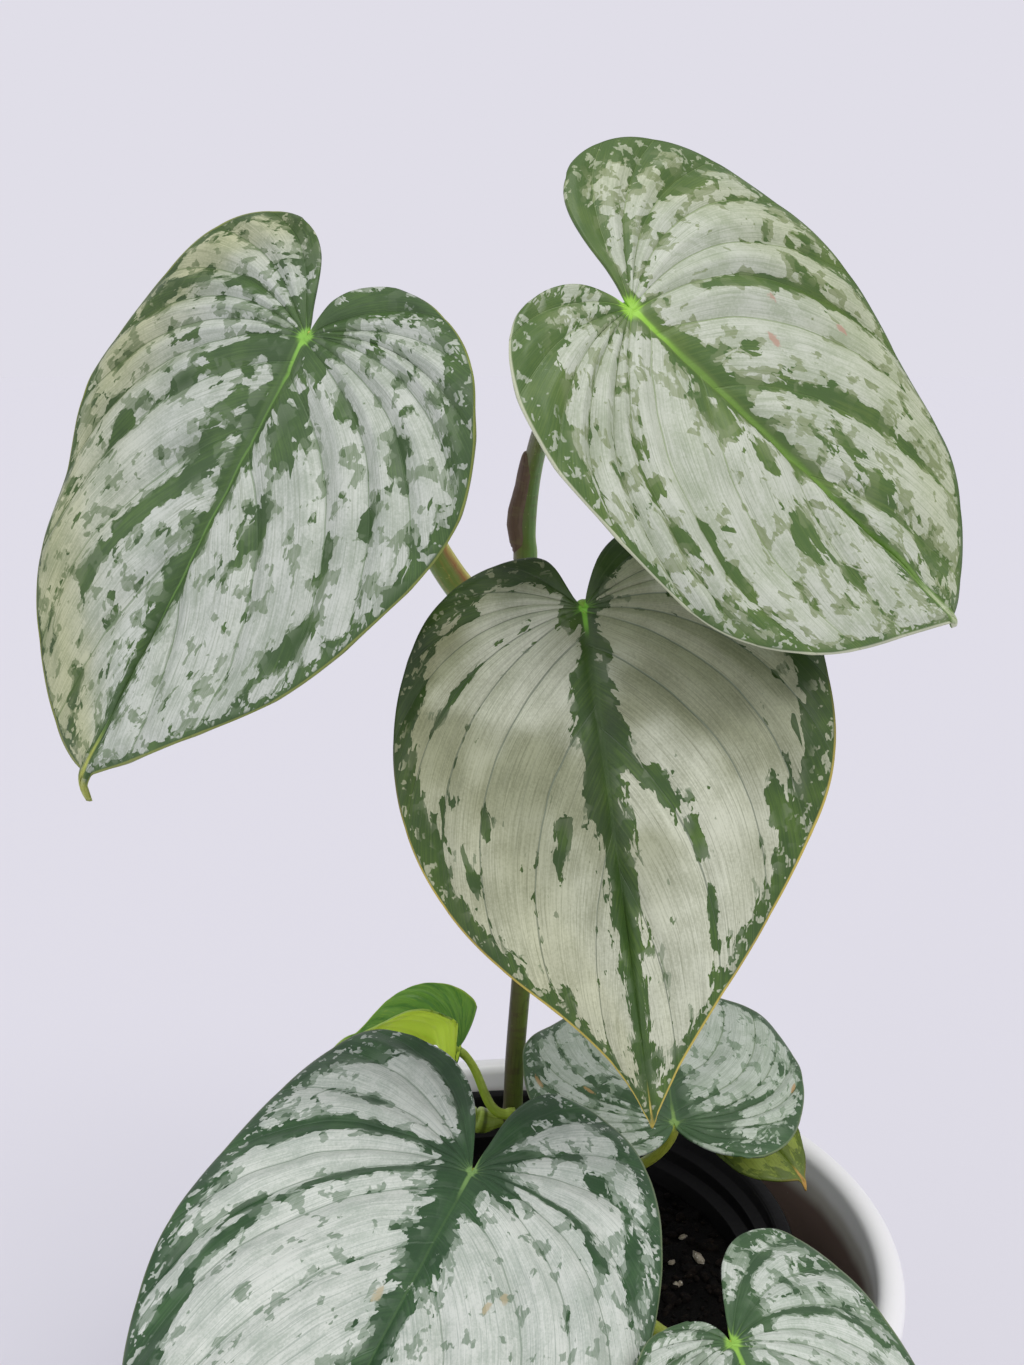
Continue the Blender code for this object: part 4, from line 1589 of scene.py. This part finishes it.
@dataclass
class LeafStalk:
    """A stalk from the stem to the underside of its blade."""

    name: str
    blade: LeafBlade
    stem: MainStem
    over_rim: float
    heading: float
    thick: float
    thin: float
    out: float
    reach: float
    finish: StalkFinish
    swing: float = 0.0
    lean: float = 0.0
    foot_swell: float = 0.22
    neck_swell: float = 0.10
    end_share: float = 0.62
    flat: float = 0.94
    sides: int = 22
    steps: int = 64

    def radius(self, share: float) -> float:
        """The solids' radius at a share of the stalk."""
        return self.thick + (self.thin - self.thick) * share

    def below(self) -> float:
        """How far under the petiole point the stalk of the solids ends."""
        return 0.95 + self.thin * self.lean / math.hypot(self.lean, self.reach)

    def path(self) -> Tuple[Vector, Vector, Vector, Vector]:
        """The ends and handles of the stalk's curve, in millimetres, as in the solids."""
        z = RIM_Z + self.over_rim
        if z >= self.stem.top():
            along = self.stem.axis(self.stem.top())
            start = self.stem.point(self.stem.top()) + along * self.stem.top_gap
            away = start + along * self.out
        else:
            room = self.thick * abs(math.sin(math.radians(self.swing)))
            start = self.stem.seat(z, self.heading, self.thick) + self.stem.side(z, self.heading) * room
            away = start + self.stem.side(z, self.heading + self.swing) * self.out
        below = self.below()
        return (start, away, self.blade.behind(below + self.reach, self.lean), self.blade.behind(below))

    def build(self) -> None:
        """Builds the stalk, grown into the stem at one end and into the blade at the other."""
        path = self.path()
        points = [cubic(*path, step / self.steps) for step in range(self.steps + 1)]
        inward = (points[0] - points[1]).normalized()
        onward = (points[-1] - points[-2]).normalized()
        into_blade = (self.below() - 0.2) * math.hypot(self.lean, self.reach) / self.reach
        points = [points[0] + inward * 1.4] + points + [points[-1] + onward * into_blade]
        radii = []
        for step in range(len(points)):
            share = clamp((step - 1) / self.steps)
            swell = 1 + self.foot_swell * hump(share, 0.03) + self.neck_swell * hump(share - 0.96, 0.05)
            radii.append(self.radius(share) * swell)
        radii[-1] *= self.end_share
        shape = sweep(points, radii, self.sides, self.flat)
        as_piece(f"{self.name}_dressed", shape, [self.finish.make()], [self.name])


@dataclass
class Sheath:
    """The papery brown sheath that clings to one side of the upper right stalk."""

    stalk: LeafStalk
    heading: float = 190.0
    to_share: float = 0.34
    radii: Tuple[float, ...] = (0.45, 0.7, 1.0, 0.95, 0.7, 0.5, 0.45, 0.4, 0.35)
    girth: float = 0.94
    steps: int = 60
    husk: StalkFinish = HUSK

    def build(self) -> None:
        """Builds the sheath, pressed onto the stalk and torn to a thin end."""
        path = self.stalk.path()
        points, radii = [], []
        for step in range(self.steps + 1):
            share = self.to_share * step / self.steps
            place = cubic(*path, share)
            along = (cubic(*path, share + 0.01) - place).normalized()
            reach = self.stalk.radius(share) + 2 * between(self.radii, step / self.steps)
            ease = clamp(step / 5) * clamp((self.steps - step) / 12)
            radius = self.stalk.radius(share) * (0.3 + (self.girth - 0.3) * math.sqrt(ease))
            points.append(place + square_to(along, self.heading) * (reach - radius))
            radii.append(radius)
        shape = sweep(points, radii, 28, 0.96)
        as_piece("stem_sheath_dressed", shape, [self.husk.make()], ["stem_sheath"])


@dataclass(frozen=True)
class SoftSun:
    """A light from far away: where it comes from, how many degrees wide, its watts a square metre and tint."""

    name: str
    towards: Tuple[float, float, float]
    spread: float
    strength: float
    tint: str

    def build(self) -> None:
        """Sets the light."""
        lamp = bpy.data.lights.new(self.name, "SUN")
        lamp.angle = math.radians(self.spread)
        lamp.energy = self.strength
        lamp.color = paint(self.tint)[:3]
        placed(self.name, lamp).rotation_euler = Vector(self.towards).to_track_quat("Z", "Y").to_euler()


@dataclass
class Studio:
    """The pale floor, the soft lights and the camera at the photograph's place."""

    camera_place: Tuple[float, float, float] = (-3.8, -260.1, RIM_Z + 177.0)
    camera_pitch: float = 12.9
    focal_pixels: float = 1400.0
    frame_height: float = 1365.0
    sensor: float = 36.0
    sky: str = "#f3f3f8"
    sky_strength: float = 0.60
    suns: Tuple[SoftSun, ...] = (
        SoftSun("key", (0.35, -0.55, 1.0), 38.0, 1.50, "#fffefa"),
        SoftSun("fill", (-1.0, -0.8, 0.6), 60.0, 0.50, "#f4f6ff"),
    )
    backdrop: str = "#e0dee8"
    floor_reach: float = 30.0
    floor_drop: float = 0.2
    floor: FloorFinish = field(default_factory=FloorFinish)

    def build_floor(self) -> None:
        """Lays a wide plain floor."""
        shape = bmesh.new()
        bmesh.ops.create_circle(shape, cap_ends=True, segments=96, radius=self.floor_reach)
        floor = placed("studio_floor", as_mesh("studio_floor", shape, [self.floor.make()]))
        floor.location.z = -self.floor_drop * MM

    def build_lights(self) -> None:
        """Sets an even pale sky and two wide soft suns, which light the whole floor alike."""
        world = bpy.data.worlds.new("studio")
        world.use_nodes = True
        tree = world.node_tree
        soft = tree.nodes["Background"]
        soft.inputs["Color"].default_value = paint(self.sky)
        soft.inputs["Strength"].default_value = self.sky_strength
        seen = tree.nodes.new("ShaderNodeBackground")
        seen.inputs["Color"].default_value = paint(self.backdrop)
        eye = tree.nodes.new("ShaderNodeLightPath")
        blend = tree.nodes.new("ShaderNodeMixShader")
        tree.links.new(eye.outputs["Is Camera Ray"], blend.inputs[0])
        tree.links.new(soft.outputs[0], blend.inputs[1])
        tree.links.new(seen.outputs[0], blend.inputs[2])
        tree.links.new(blend.outputs[0], tree.nodes["World Output"].inputs["Surface"])
        bpy.context.scene.world = world
        for sun in self.suns:
            sun.build()
        bpy.context.scene.view_settings.view_transform = "Standard"

    def build_camera(self) -> None:
        """Sets the camera where the photograph was taken from."""
        camera = bpy.data.cameras.new("camera")
        camera.sensor_fit = "VERTICAL"
        camera.sensor_height = self.sensor
        camera.lens = self.focal_pixels / self.frame_height * self.sensor
        camera.clip_start = 0.01
        camera.dof.use_dof = False
        made = placed("camera", camera)
        made.location = Vector(self.camera_place) * MM
        made.rotation_euler = (math.radians(90 - self.camera_pitch), 0, 0)
        bpy.context.scene.camera = made


# The tint shares below are painted light, where light shines through one half of a blade
UPPER_LEFT = LeafFinish(
    "upper left leaf", silver="#c8cdc3", silver_shade="#a0aa9a", line="#89937d", middle="#78886c",
    green="#537038", deep="#3d572e", edge="#b4ba5c", vein="#5a7d44", heart="#90c850", tint="#e0dc9c",
    green_from=0.28, middle_from=0.14, painted_light_side=-1.0, painted_light_share=0.65, edge_width=0.7, edge_share=0.5,
    tip_share=0.9, seed=1.0)
UPPER_RIGHT = LeafFinish(
    "upper right leaf", silver="#c8cdbe", silver_shade="#a6b097", line="#8c987c", middle="#86926b",
    green="#647c3c", deep="#4c6832", edge="#dfe2c4", vein="#85a056", heart="#a0d84a", tint="#e2e6a6",
    green_from=0.29, middle_from=0.15, painted_light_share=0.35, edge_width=0.8, edge_share=0.8, edge_side=-1.0,
    glow=1.2, rib_share=0.22, rib_half=0.95, blotch=0.6, islands=0.9, scar="#b8917f", seed=4.0)
# The middle leaf carries painted shade for the shadow that the upper right leaf casts on it
MIDDLE = LeafFinish(
    "middle leaf", silver="#cdd0bb", silver_shade="#a5a991", line="#878b74", middle="#88937a",
    green="#56722e", deep="#3b5626", edge="#dcc460", vein="#5b6b5c", heart="#82c43c", tint="#dad6a4",
    green_from=0.34, middle_from=0.40, blotch=0.7, islands=0.8, dapple=0.04, vein_share=0.65, painted_light_side=-1.0,
    painted_light_share=0.35, edge_width=0.9, edge_share=0.85, edge_from=0.45, glow=0.45, rib_share=0.0,
    ribbon_share=0.1, tip_share=0.8, tip_from=0.975, painted_shade_share=0.85, seed=7.0)
LOWER_LEFT = LeafFinish(
    "lower left leaf", silver="#d2d6cf", silver_shade="#aab4a9", line="#8b988e", middle="#7a8b78",
    green="#40623a", deep="#2c4a2c", edge="#a9b48a", vein="#657f64", heart="#86ab62", blotch=0.6, islands=0.8,
    edge_share=0.3, glow=0.6, rib_share=0.1, ribbon_share=0.3, seed=10.0)
BACK_RIGHT = LeafFinish(
    "back right leaf", silver="#c3cbc0", silver_shade="#a0ad9b", line="#7d8c78", middle="#7c9077",
    green="#4a6a42", deep="#3a5636", edge="#9aa57c", vein="#65804e", heart="#86a858", blotch=0.6, islands=0.8,
    glow=0.6, scar="#b08c58", seed=13.0)
LOWER_RIGHT = LeafFinish(
    "lower right leaf", silver="#d0d5cd", silver_shade="#aab6a7", line="#889683", middle="#788a73",
    green="#4b6a41", deep="#375433", edge="#a9b48a", vein="#67825f", heart="#97c850", green_from=0.50,
    middle_from=0.22, blotch=0.7, islands=0.9, glow=0.9, seed=16.0)
# The young leaf's silver colours the painted highlights on its underside
YOUNG = LeafFinish(
    "young leaf", silver="#fafcc0", middle="#b4cc30", green="#6ea230", deep="#4c8622", edge="#cbe258",
    heart="#d8ee58", edge_width=0.45, edge_share=0.5, seed=19.0, underside="#dcff54", age=Age.YOUNG)
HIDDEN = LeafFinish(
    "hidden leaf", silver="#8a9a3c", silver_shade="#78862c", line="#626f28", middle="#6d7c2a", green="#677a26",
    deep="#52641c", edge="#c89a50", vein="#7f9040", heart="#8fa840", green_from=0.30, middle_from=0.30,
    edge_width=0.5, edge_from=0.9, tip_share=0.9, seed=22.0, underside="#7d9a3c")


def splashes(*rows: Tuple[float, ...]) -> Tuple[Splash, ...]:
    """Makes splashes from rows of out, along, size out, size along and, where it isn't 1, strength."""
    return tuple(Splash(*row) for row in rows)


SPLASHES_UPPER_LEFT = splashes(
    (-0.6, 0.03, 0.45, 0.05, 0.5), (-0.4, 0.27, 0.12, 0.03, 0.8), (-0.7, 0.3, 0.18, 0.02, 0.6),
    (-0.85, 0.34, 0.1, 0.03, 0.8), (-0.45, 0.52, 0.04, 0.015, 0.7), (-0.15, 0.62, 0.12, 0.03, 0.9),
    (-0.35, 0.64, 0.05, 0.015, 0.8), (-0.6, 0.64, 0.06, 0.015, 0.9), (-0.93, 0.58, 0.06, 0.02, 0.7),
    (-0.75, 0.56, 0.06, 0.015, 0.7), (-0.12, 0.72, 0.06, 0.015, 0.7), (-0.15, 0.755, 0.07, 0.012, 1),
    (-0.15, 0.78, 0.05, 0.01, 0.7), (-0.25, 0.79, 0.2, 0.01, 0.8), (-0.45, 0.79, 0.12, 0.012, 0.9),
    (-0.65, 0.8, 0.05, 0.012, 0.9), (-0.8, 0.87, 0.06, 0.015, 0.9), (-0.9, 0.9, 0.05, 0.015, 0.7),
    (-0.4, 0.7, 0.12, 0.02, -0.5), (-0.4, 0.76, 0.1, 0.01, -0.4), (0.05, 0.87, 0.08, 0.02, 0.5),
    (0.6, 0.06, 0.45, 0.06, 0.7), (0.9, 0.25, 0.12, 0.12, 0.6), (0.25, 0.6, 0.04, 0.02, 0.7),
    (0.6, 0.48, 0.06, 0.03, 0.9), (0.65, 0.58, 0.05, 0.03, 0.7), (0.15, 0.72, 0.08, 0.03, 0.8),
    (0.3, 0.78, 0.05, 0.03, 0.8), (0.6, 0.67, 0.04, 0.015, 0.6), (0.8, 0.68, 0.06, 0.02, 0.8),
    (0.85, 0.71, 0.05, 0.02, 0.8), (0.35, 0.71, 0.06, 0.03, -0.4), (0.4, 0.87, 0.2, 0.03, -0.4)
)
SPLASHES_UPPER_RIGHT = splashes(
    (0.45, 0.02, 0.35, 0.05, 0.9), (0.9, 0.12, 0.12, 0.1, 0.8), (0.75, 0.29, 0.18, 0.04, 0.6),
    (0.3, 0.2, 0.15, 0.03, 0.5), (0.35, 0.61, 0.15, 0.015, 0.8), (0.6, 0.585, 0.2, 0.015, 0.9),
    (0.68, 0.57, 0.04, 0.04, 0.8), (0.2, 0.73, 0.06, 0.012, 0.9), (0.03, 0.74, 0.06, 0.06, 0.6),
    (0.5, 0.77, 0.25, 0.01, 0.8), (0.2, 0.83, 0.06, 0.015, 0.5), (0.35, 0.83, 0.05, 0.02, 0.7),
    (0.45, 0.87, 0.1, 0.02, 0.7), (0.75, 0.91, 0.15, 0.03, 0.6), (0.9, 0.48, 0.1, 0.03, 0.6),
    (0.35, 0.69, 0.25, 0.035, -0.8), (0.35, 0.5, 0.2, 0.06, -0.6), (-0.35, 0.65, 0.2, 0.04, -0.7),
    (-0.4, 0.75, 0.2, 0.02, -0.5), (-0.8, 0.1, 0.25, 0.12, 0.8), (-0.88, 0.26, 0.12, 0.06, 0.8),
    (-0.75, 0.23, 0.08, 0.03, 0.7), (-0.6, 0.43, 0.05, 0.02, 0.6), (-0.65, 0.59, 0.05, 0.015, 0.7),
    (-0.55, 0.67, 0.05, 0.015, 0.6), (-0.7, 0.67, 0.06, 0.015, 0.8), (-0.88, 0.62, 0.08, 0.04, 0.6),
    (-0.35, 0.59, 0.15, 0.006, 0.6), (-0.12, 0.75, 0.05, 0.04, 0.7), (-0.2, 0.81, 0.08, 0.012, 0.7),
    (-0.45, 0.83, 0.15, 0.008, 0.7), (-0.55, 0.81, 0.08, 0.01, 0.8), (-0.65, 0.85, 0.06, 0.012, 0.8)
)
SPLASHES_MIDDLE = splashes(
    (-0.65, 0.04, 0.4, 0.07, 0.7), (-0.85, 0.14, 0.15, 0.06, 0.5), (-0.62, 0.25, 0.12, 0.03, 0.8),
    (-0.82, 0.36, 0.1, 0.06, 0.6), (-0.9, 0.52, 0.1, 0.05, 0.7), (-0.4, 0.3, 0.25, 0.1, -0.5),
    (-0.5, 0.46, 0.14, 0.014, 0.9), (-0.3, 0.43, 0.04, 0.01, 0.7), (-0.25, 0.68, 0.15, 0.05, -0.8),
    (-0.6, 0.67, 0.05, 0.015, 0.8), (-0.8, 0.63, 0.05, 0.015, 0.8), (-0.05, 0.75, 0.05, 0.05, 0.6),
    (-0.1, 0.81, 0.05, 0.02, 0.9), (-0.35, 0.79, 0.06, 0.012, 0.9), (-0.45, 0.79, 0.04, 0.008, 0.7),
    (-0.05, 0.86, 0.05, 0.02, 0.8), (-0.9, 0.79, 0.05, 0.01, 0.7), (0.06, 0.775, 0.06, 0.02, 0.9),
    (0.15, 0.79, 0.07, 0.008, 0.9), (0.3, 0.78, 0.06, 0.012, 0.9), (0.5, 0.77, 0.07, 0.012, 0.9),
    (0.12, 0.88, 0.08, 0.01, 0.7), (0.05, 0.92, 0.08, 0.015, 0.9), (0.7, 0.78, 0.05, 0.01, 0.7),
    (0.8, 0.79, 0.05, 0.01, 0.6), (0.6, 0.66, 0.04, 0.01, 0.6), (0.8, 0.63, 0.08, 0.02, 0.9),
    (0.85, 0.38, 0.12, 0.05, 0.8), (0.9, 0.5, 0.1, 0.05, 0.8), (0.5, 0.05, 0.3, 0.05, 0.7),
    (0.2, 0.61, 0.15, 0.07, -0.8), (0.5, 0.65, 0.15, 0.05, -0.6), (0.45, 0.22, 0.28, 0.08, -0.6)
)
SPLASHES_LOWER_LEFT = splashes(
    (-0.45, 0.48, 0.3, 0.05, -0.4), (-0.45, 0.18, 0.3, 0.06, -0.4), (0.4, 0.32, 0.25, 0.05, -0.4),
    (-0.88, 0.12, 0.14, 0.12, 0.9), (-0.65, 0.03, 0.3, 0.03, 0.9), (-0.35, 0.05, 0.2, 0.03, 0.7),
    (-0.55, 0.37, 0.45, 0.03, 1), (-0.55, 0.27, 0.07, 0.02, 0.8), (-0.3, 0.59, 0.22, 0.02, 1),
    (-0.68, 0.62, 0.12, 0.02, 0.9), (-0.65, 0.56, 0.08, 0.02, 0.9), (-0.85, 0.66, 0.1, 0.03, 0.9),
    (-0.88, 0.55, 0.05, 0.02, 0.8), (-0.92, 0.45, 0.08, 0.12, 0.5), (-0.95, 0.7, 0.08, 0.04, 0.8),
    (0.65, 0.03, 0.4, 0.05, 0.8), (0.92, 0.12, 0.1, 0.1, 0.7), (0.25, 0.17, 0.12, 0.03, 0.7),
    (0.52, 0.2, 0.08, 0.02, 0.8), (0.62, 0.26, 0.08, 0.02, 0.8), (0.3, 0.4, 0.25, 0.015, 0.8),
    (0.55, 0.43, 0.1, 0.02, 0.9), (0.8, 0.34, 0.08, 0.06, 0.9), (0.1, 0.5, 0.06, 0.04, 0.8)
)
SPLASHES_BACK_RIGHT = splashes(
    (-0.75, 0.5, 0.08, 0.03, 0.7), (-0.45, 0.48, 0.12, 0.03, 0.8), (-0.2, 0.4, 0.1, 0.04, 0.7),
    (-0.2, 0.3, 0.15, 0.2, 0.7), (-0.4, 0.12, 0.2, 0.06, 0.8), (-0.6, 0.25, 0.1, 0.02, 0.6),
    (-0.75, 0.2, 0.1, 0.03, 0.6), (-0.8, 0.08, 0.15, 0.06, 0.6), (0.85, 0.42, 0.1, 0.05, 0.7),
    (0.75, 0.36, 0.06, 0.02, 0.6), (0.9, 0.3, 0.1, 0.03, 0.6), (0.45, 0.5, 0.15, 0.06, 0.4),
    (0.3, 0.6, 0.2, 0.05, 0.5)
)
SPLASHES_LOWER_RIGHT = splashes(
    (0.45, 0.31, 0.3, 0.02, 1), (0.8, 0.33, 0.1, 0.02, 0.8), (0.6, 0.1, 0.3, 0.02, 0.8),
    (0.85, 0.17, 0.12, 0.03, 0.7), (0.75, 0.02, 0.3, 0.04, 0.7), (0.55, 0.2, 0.04, 0.03, 0.8),
    (0.45, 0.24, 0.1, 0.015, 0.7), (0.7, 0.24, 0.06, 0.02, 0.7), (0.15, 0.2, 0.12, 0.12, 0.8),
    (0.3, 0.1, 0.1, 0.04, 0.5), (-0.8, 0.05, 0.3, 0.05, 0.7), (-0.3, 0.1, 0.2, 0.05, 0.6),
    (-0.4, 0.3, 0.2, 0.02, 0.7)
)
SCARS_UPPER_RIGHT = splashes((0.3, 0.72, 0.02, 0.012), (0.4, 0.64, 0.015, 0.014), (0.65, 0.65, 0.02, 0.01))
SCARS_LOWER_LEFT = splashes((0.35, 0.7, 0.02, 0.01), (0.34, 0.725, 0.02, 0.008), (-0.1, 0.81, 0.02, 0.01))
SCARS_BACK_RIGHT = splashes((0.85, 0.37, 0.04, 0.02), (0.45, 0.52, 0.05, 0.012), (-0.85, 0.37, 0.04, 0.015))


def blades() -> Dict[str, LeafBlade]:
    """The eight blades, with the places, turns and outlines of their solids.

    Returns:
        Each blade by its node's name.
    """
    made = (
        LeafBlade("blade_upper_left", (-38.7, -16.5, 181), -164, -60, -42, 84, 5,
                  Half(43, 17.5, 14, 14, 11, 0.39, 0.50, 0.26),
                  Half(41.5, 22, 17, 18.5, 14, 0.25, 0.64, 0.05),
                  Bend(6, 3, -3, 1.0, 3.5, 0.1), UPPER_LEFT, SPLASHES_UPPER_LEFT, margin_green=(3.4, 2.2),
                  rib_green=2.0, vein_green=1.0, heart_green=0.3, vein_lean=0.12, quilt=1.0, furrow=0.9),
        LeafBlade("blade_upper_right", (14.8, -33.5, 185), 7, -39.5, 58, 77.5, 1.5,
                  Half(39.5, 14, 16, 20.5, 21, 0.52, 0.55, 0.05),
                  Half(34.5, 25.5, 13.5, 13.5, 4, 0.60, 0.60, 0.32),
                  Bend(5, 5, -3, 1.0, 3.2, 0.55), UPPER_RIGHT, SPLASHES_UPPER_RIGHT, margin_green=(2.6, 3.4),
                  rib_green=1.8, vein_green=1.2, heart_green=0.15, quilt=0.9, furrow=0.8,
                  scars=SCARS_UPPER_RIGHT),
        LeafBlade("blade_middle", (8.3, -26.5, 136.5), -70, -68, 19, 85, 2,
                  Half(39.5, 20, 14, 13, 20, 0.38, 0.29, 0.31, 9), Half(35, 25, 8.5, 10, 43, 0.54, 0.19, 0.35, 9),
                  Bend(6, 6, -3, 1.2, 4, 0.8), MIDDLE, SPLASHES_MIDDLE, margin_green=(8.0, 7.0),
                  rib_green=3.2, vein_green=0.6, heart_green=0.1, quilt=0.5),
        LeafBlade("blade_lower_left", (-11.2, -29.5, 32), -113, -14, -6, 83.5, 5,
                  Half(40.5, 24.5, 9, 24.5, 4, 0.45, 0.35, 0.30), Half(46.5, 20.5, 32, 29.5, 19, 0.48, 0.69, 0.21),
                  Bend(7, 7, -2, 1.0, 3, 0.3), LOWER_LEFT, SPLASHES_LOWER_LEFT, margin_green=(3.4, 3.4),
                  rib_green=4.0, vein_green=1.2, heart_green=0.45, vein_lean=0.15, quilt=0.9, furrow=0.6,
                  scars=SCARS_LOWER_LEFT),
        LeafBlade("blade_back_right", (29.3, -1.5, 25.5), 89, 12, 3, 54.5, 3,
                  Half(31, 19.5, 12, 10.5, 13, 0.34, 0.28, 0.37, 8),
                  Half(29.5, 22, 14, 8.5, 5, 0.48, 0.50, 0.26, 8),
                  Bend(6, 4, -1, 1.0, 3, 0.6), BACK_RIGHT, SPLASHES_BACK_RIGHT, margin_green=(3.2, 4.0),
                  rib_green=2.6, vein_green=1.0, heart_green=0.45, scars=SCARS_BACK_RIGHT,
                  rows=120, columns=36),
        LeafBlade("blade_lower_right", (31.8, -63.5, 22.5), -72, -15, -7, 60, 4,
                  Half(32, 17.5, 19, 21.5, 10, 0.45, 0.35, 0.30), Half(24, 24, 7, 5, 17, 0.45, 0.35, 0.30),
                  Bend(5, 4, -1, 1.0, 3, 0.2), LOWER_RIGHT, SPLASHES_LOWER_RIGHT, margin_green=(2.6, 2.6),
                  rib_green=2.4, vein_green=1.2, rows=130, columns=38),
        LeafBlade("blade_young", (-15.2, 28.5, 27.5), 184, 9, 0, 24, 5,
                  Half(7.5, 9, 4, -2, 30, 0.50, 0.40, 0.30, 55, 8), Half(7.5, 9, 5, 2.6, 50, 0.50, 0.40, 0.30, 55),
                  Bend(0, 2, 0, 0.4, 2, 0), YOUNG, rows=110, columns=36, quilt=0.1, thickness=0.5),
        LeafBlade("blade_hidden", (38, 38, 22), -52, -26, 10, 38, 2,
                  Half(10, 14, 5, 4, 20, 0.55, 0.62, 0.20, 5), Half(13, 17, 5, 4, 20, 0.55, 0.78, 0.12, 5),
                  Bend(2, 1, 0, 0.5, 3, 0), HIDDEN, rows=80, columns=20, quilt=0.2, thickness=0.5),
    )
    return {blade.name: blade for blade in made}


def stalks(leaves: Dict[str, LeafBlade], stem: MainStem) -> Dict[str, LeafStalk]:
    """The eight stalks, with the curves of their solids.

    Args:
        leaves: The blades by name.
        stem: The stem they grow from.

    Returns:
        Each stalk by the name it shares with its leaf.
    """
    rows = (
        ("upper_left", 126, 200, 3.5, 1.8, 15, 22, YELLOW_BANDED),
        ("upper_right", 139, 0, 2.0, 1.7, 24, 24, OLIVE),
        ("middle", 112, -60, 2.2, 1.6, 12, 16, OLIVE),
        ("lower_left", -5, -100, 2.1, 1.7, 26, 16, FRESH),
        ("back_right", -7, -25, 1.3, 1.1, 14, 12, FRESH),
        ("lower_right", 0, -80, 1.4, 1.2, 40, 12, FRESH),
        ("young", 10.3, 255, 1.15, 0.9, 6.5, 4, LIME, -60, 6.5),
        ("hidden", -12, -45, 1.2, 1.0, 10, 6, FRESH),
    )
    return {name: LeafStalk(f"petiole_{name}", leaves[f"blade_{name}"], stem, *rest) for name, *rest in rows}


def main() -> None:
    """Builds the whole scene in order and notes its size."""
    logging.basicConfig(level=logging.INFO, format="%(message)s")
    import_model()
    studio = Studio()
    studio.build_camera()
    studio.build_floor()
    studio.build_lights()
    Cachepot().build()
    inner = NurseryPot()
    inner.build()
    SoilBed(inner).build()
    stem = MainStem()
    stem.build()
    leaves = blades()
    grown = stalks(leaves, stem)
    for stalk in grown.values():
        stalk.build()
    Sheath(grown["upper_right"]).build()
    for blade in leaves.values():
        blade.build()


if __name__ == "__main__":
    main()
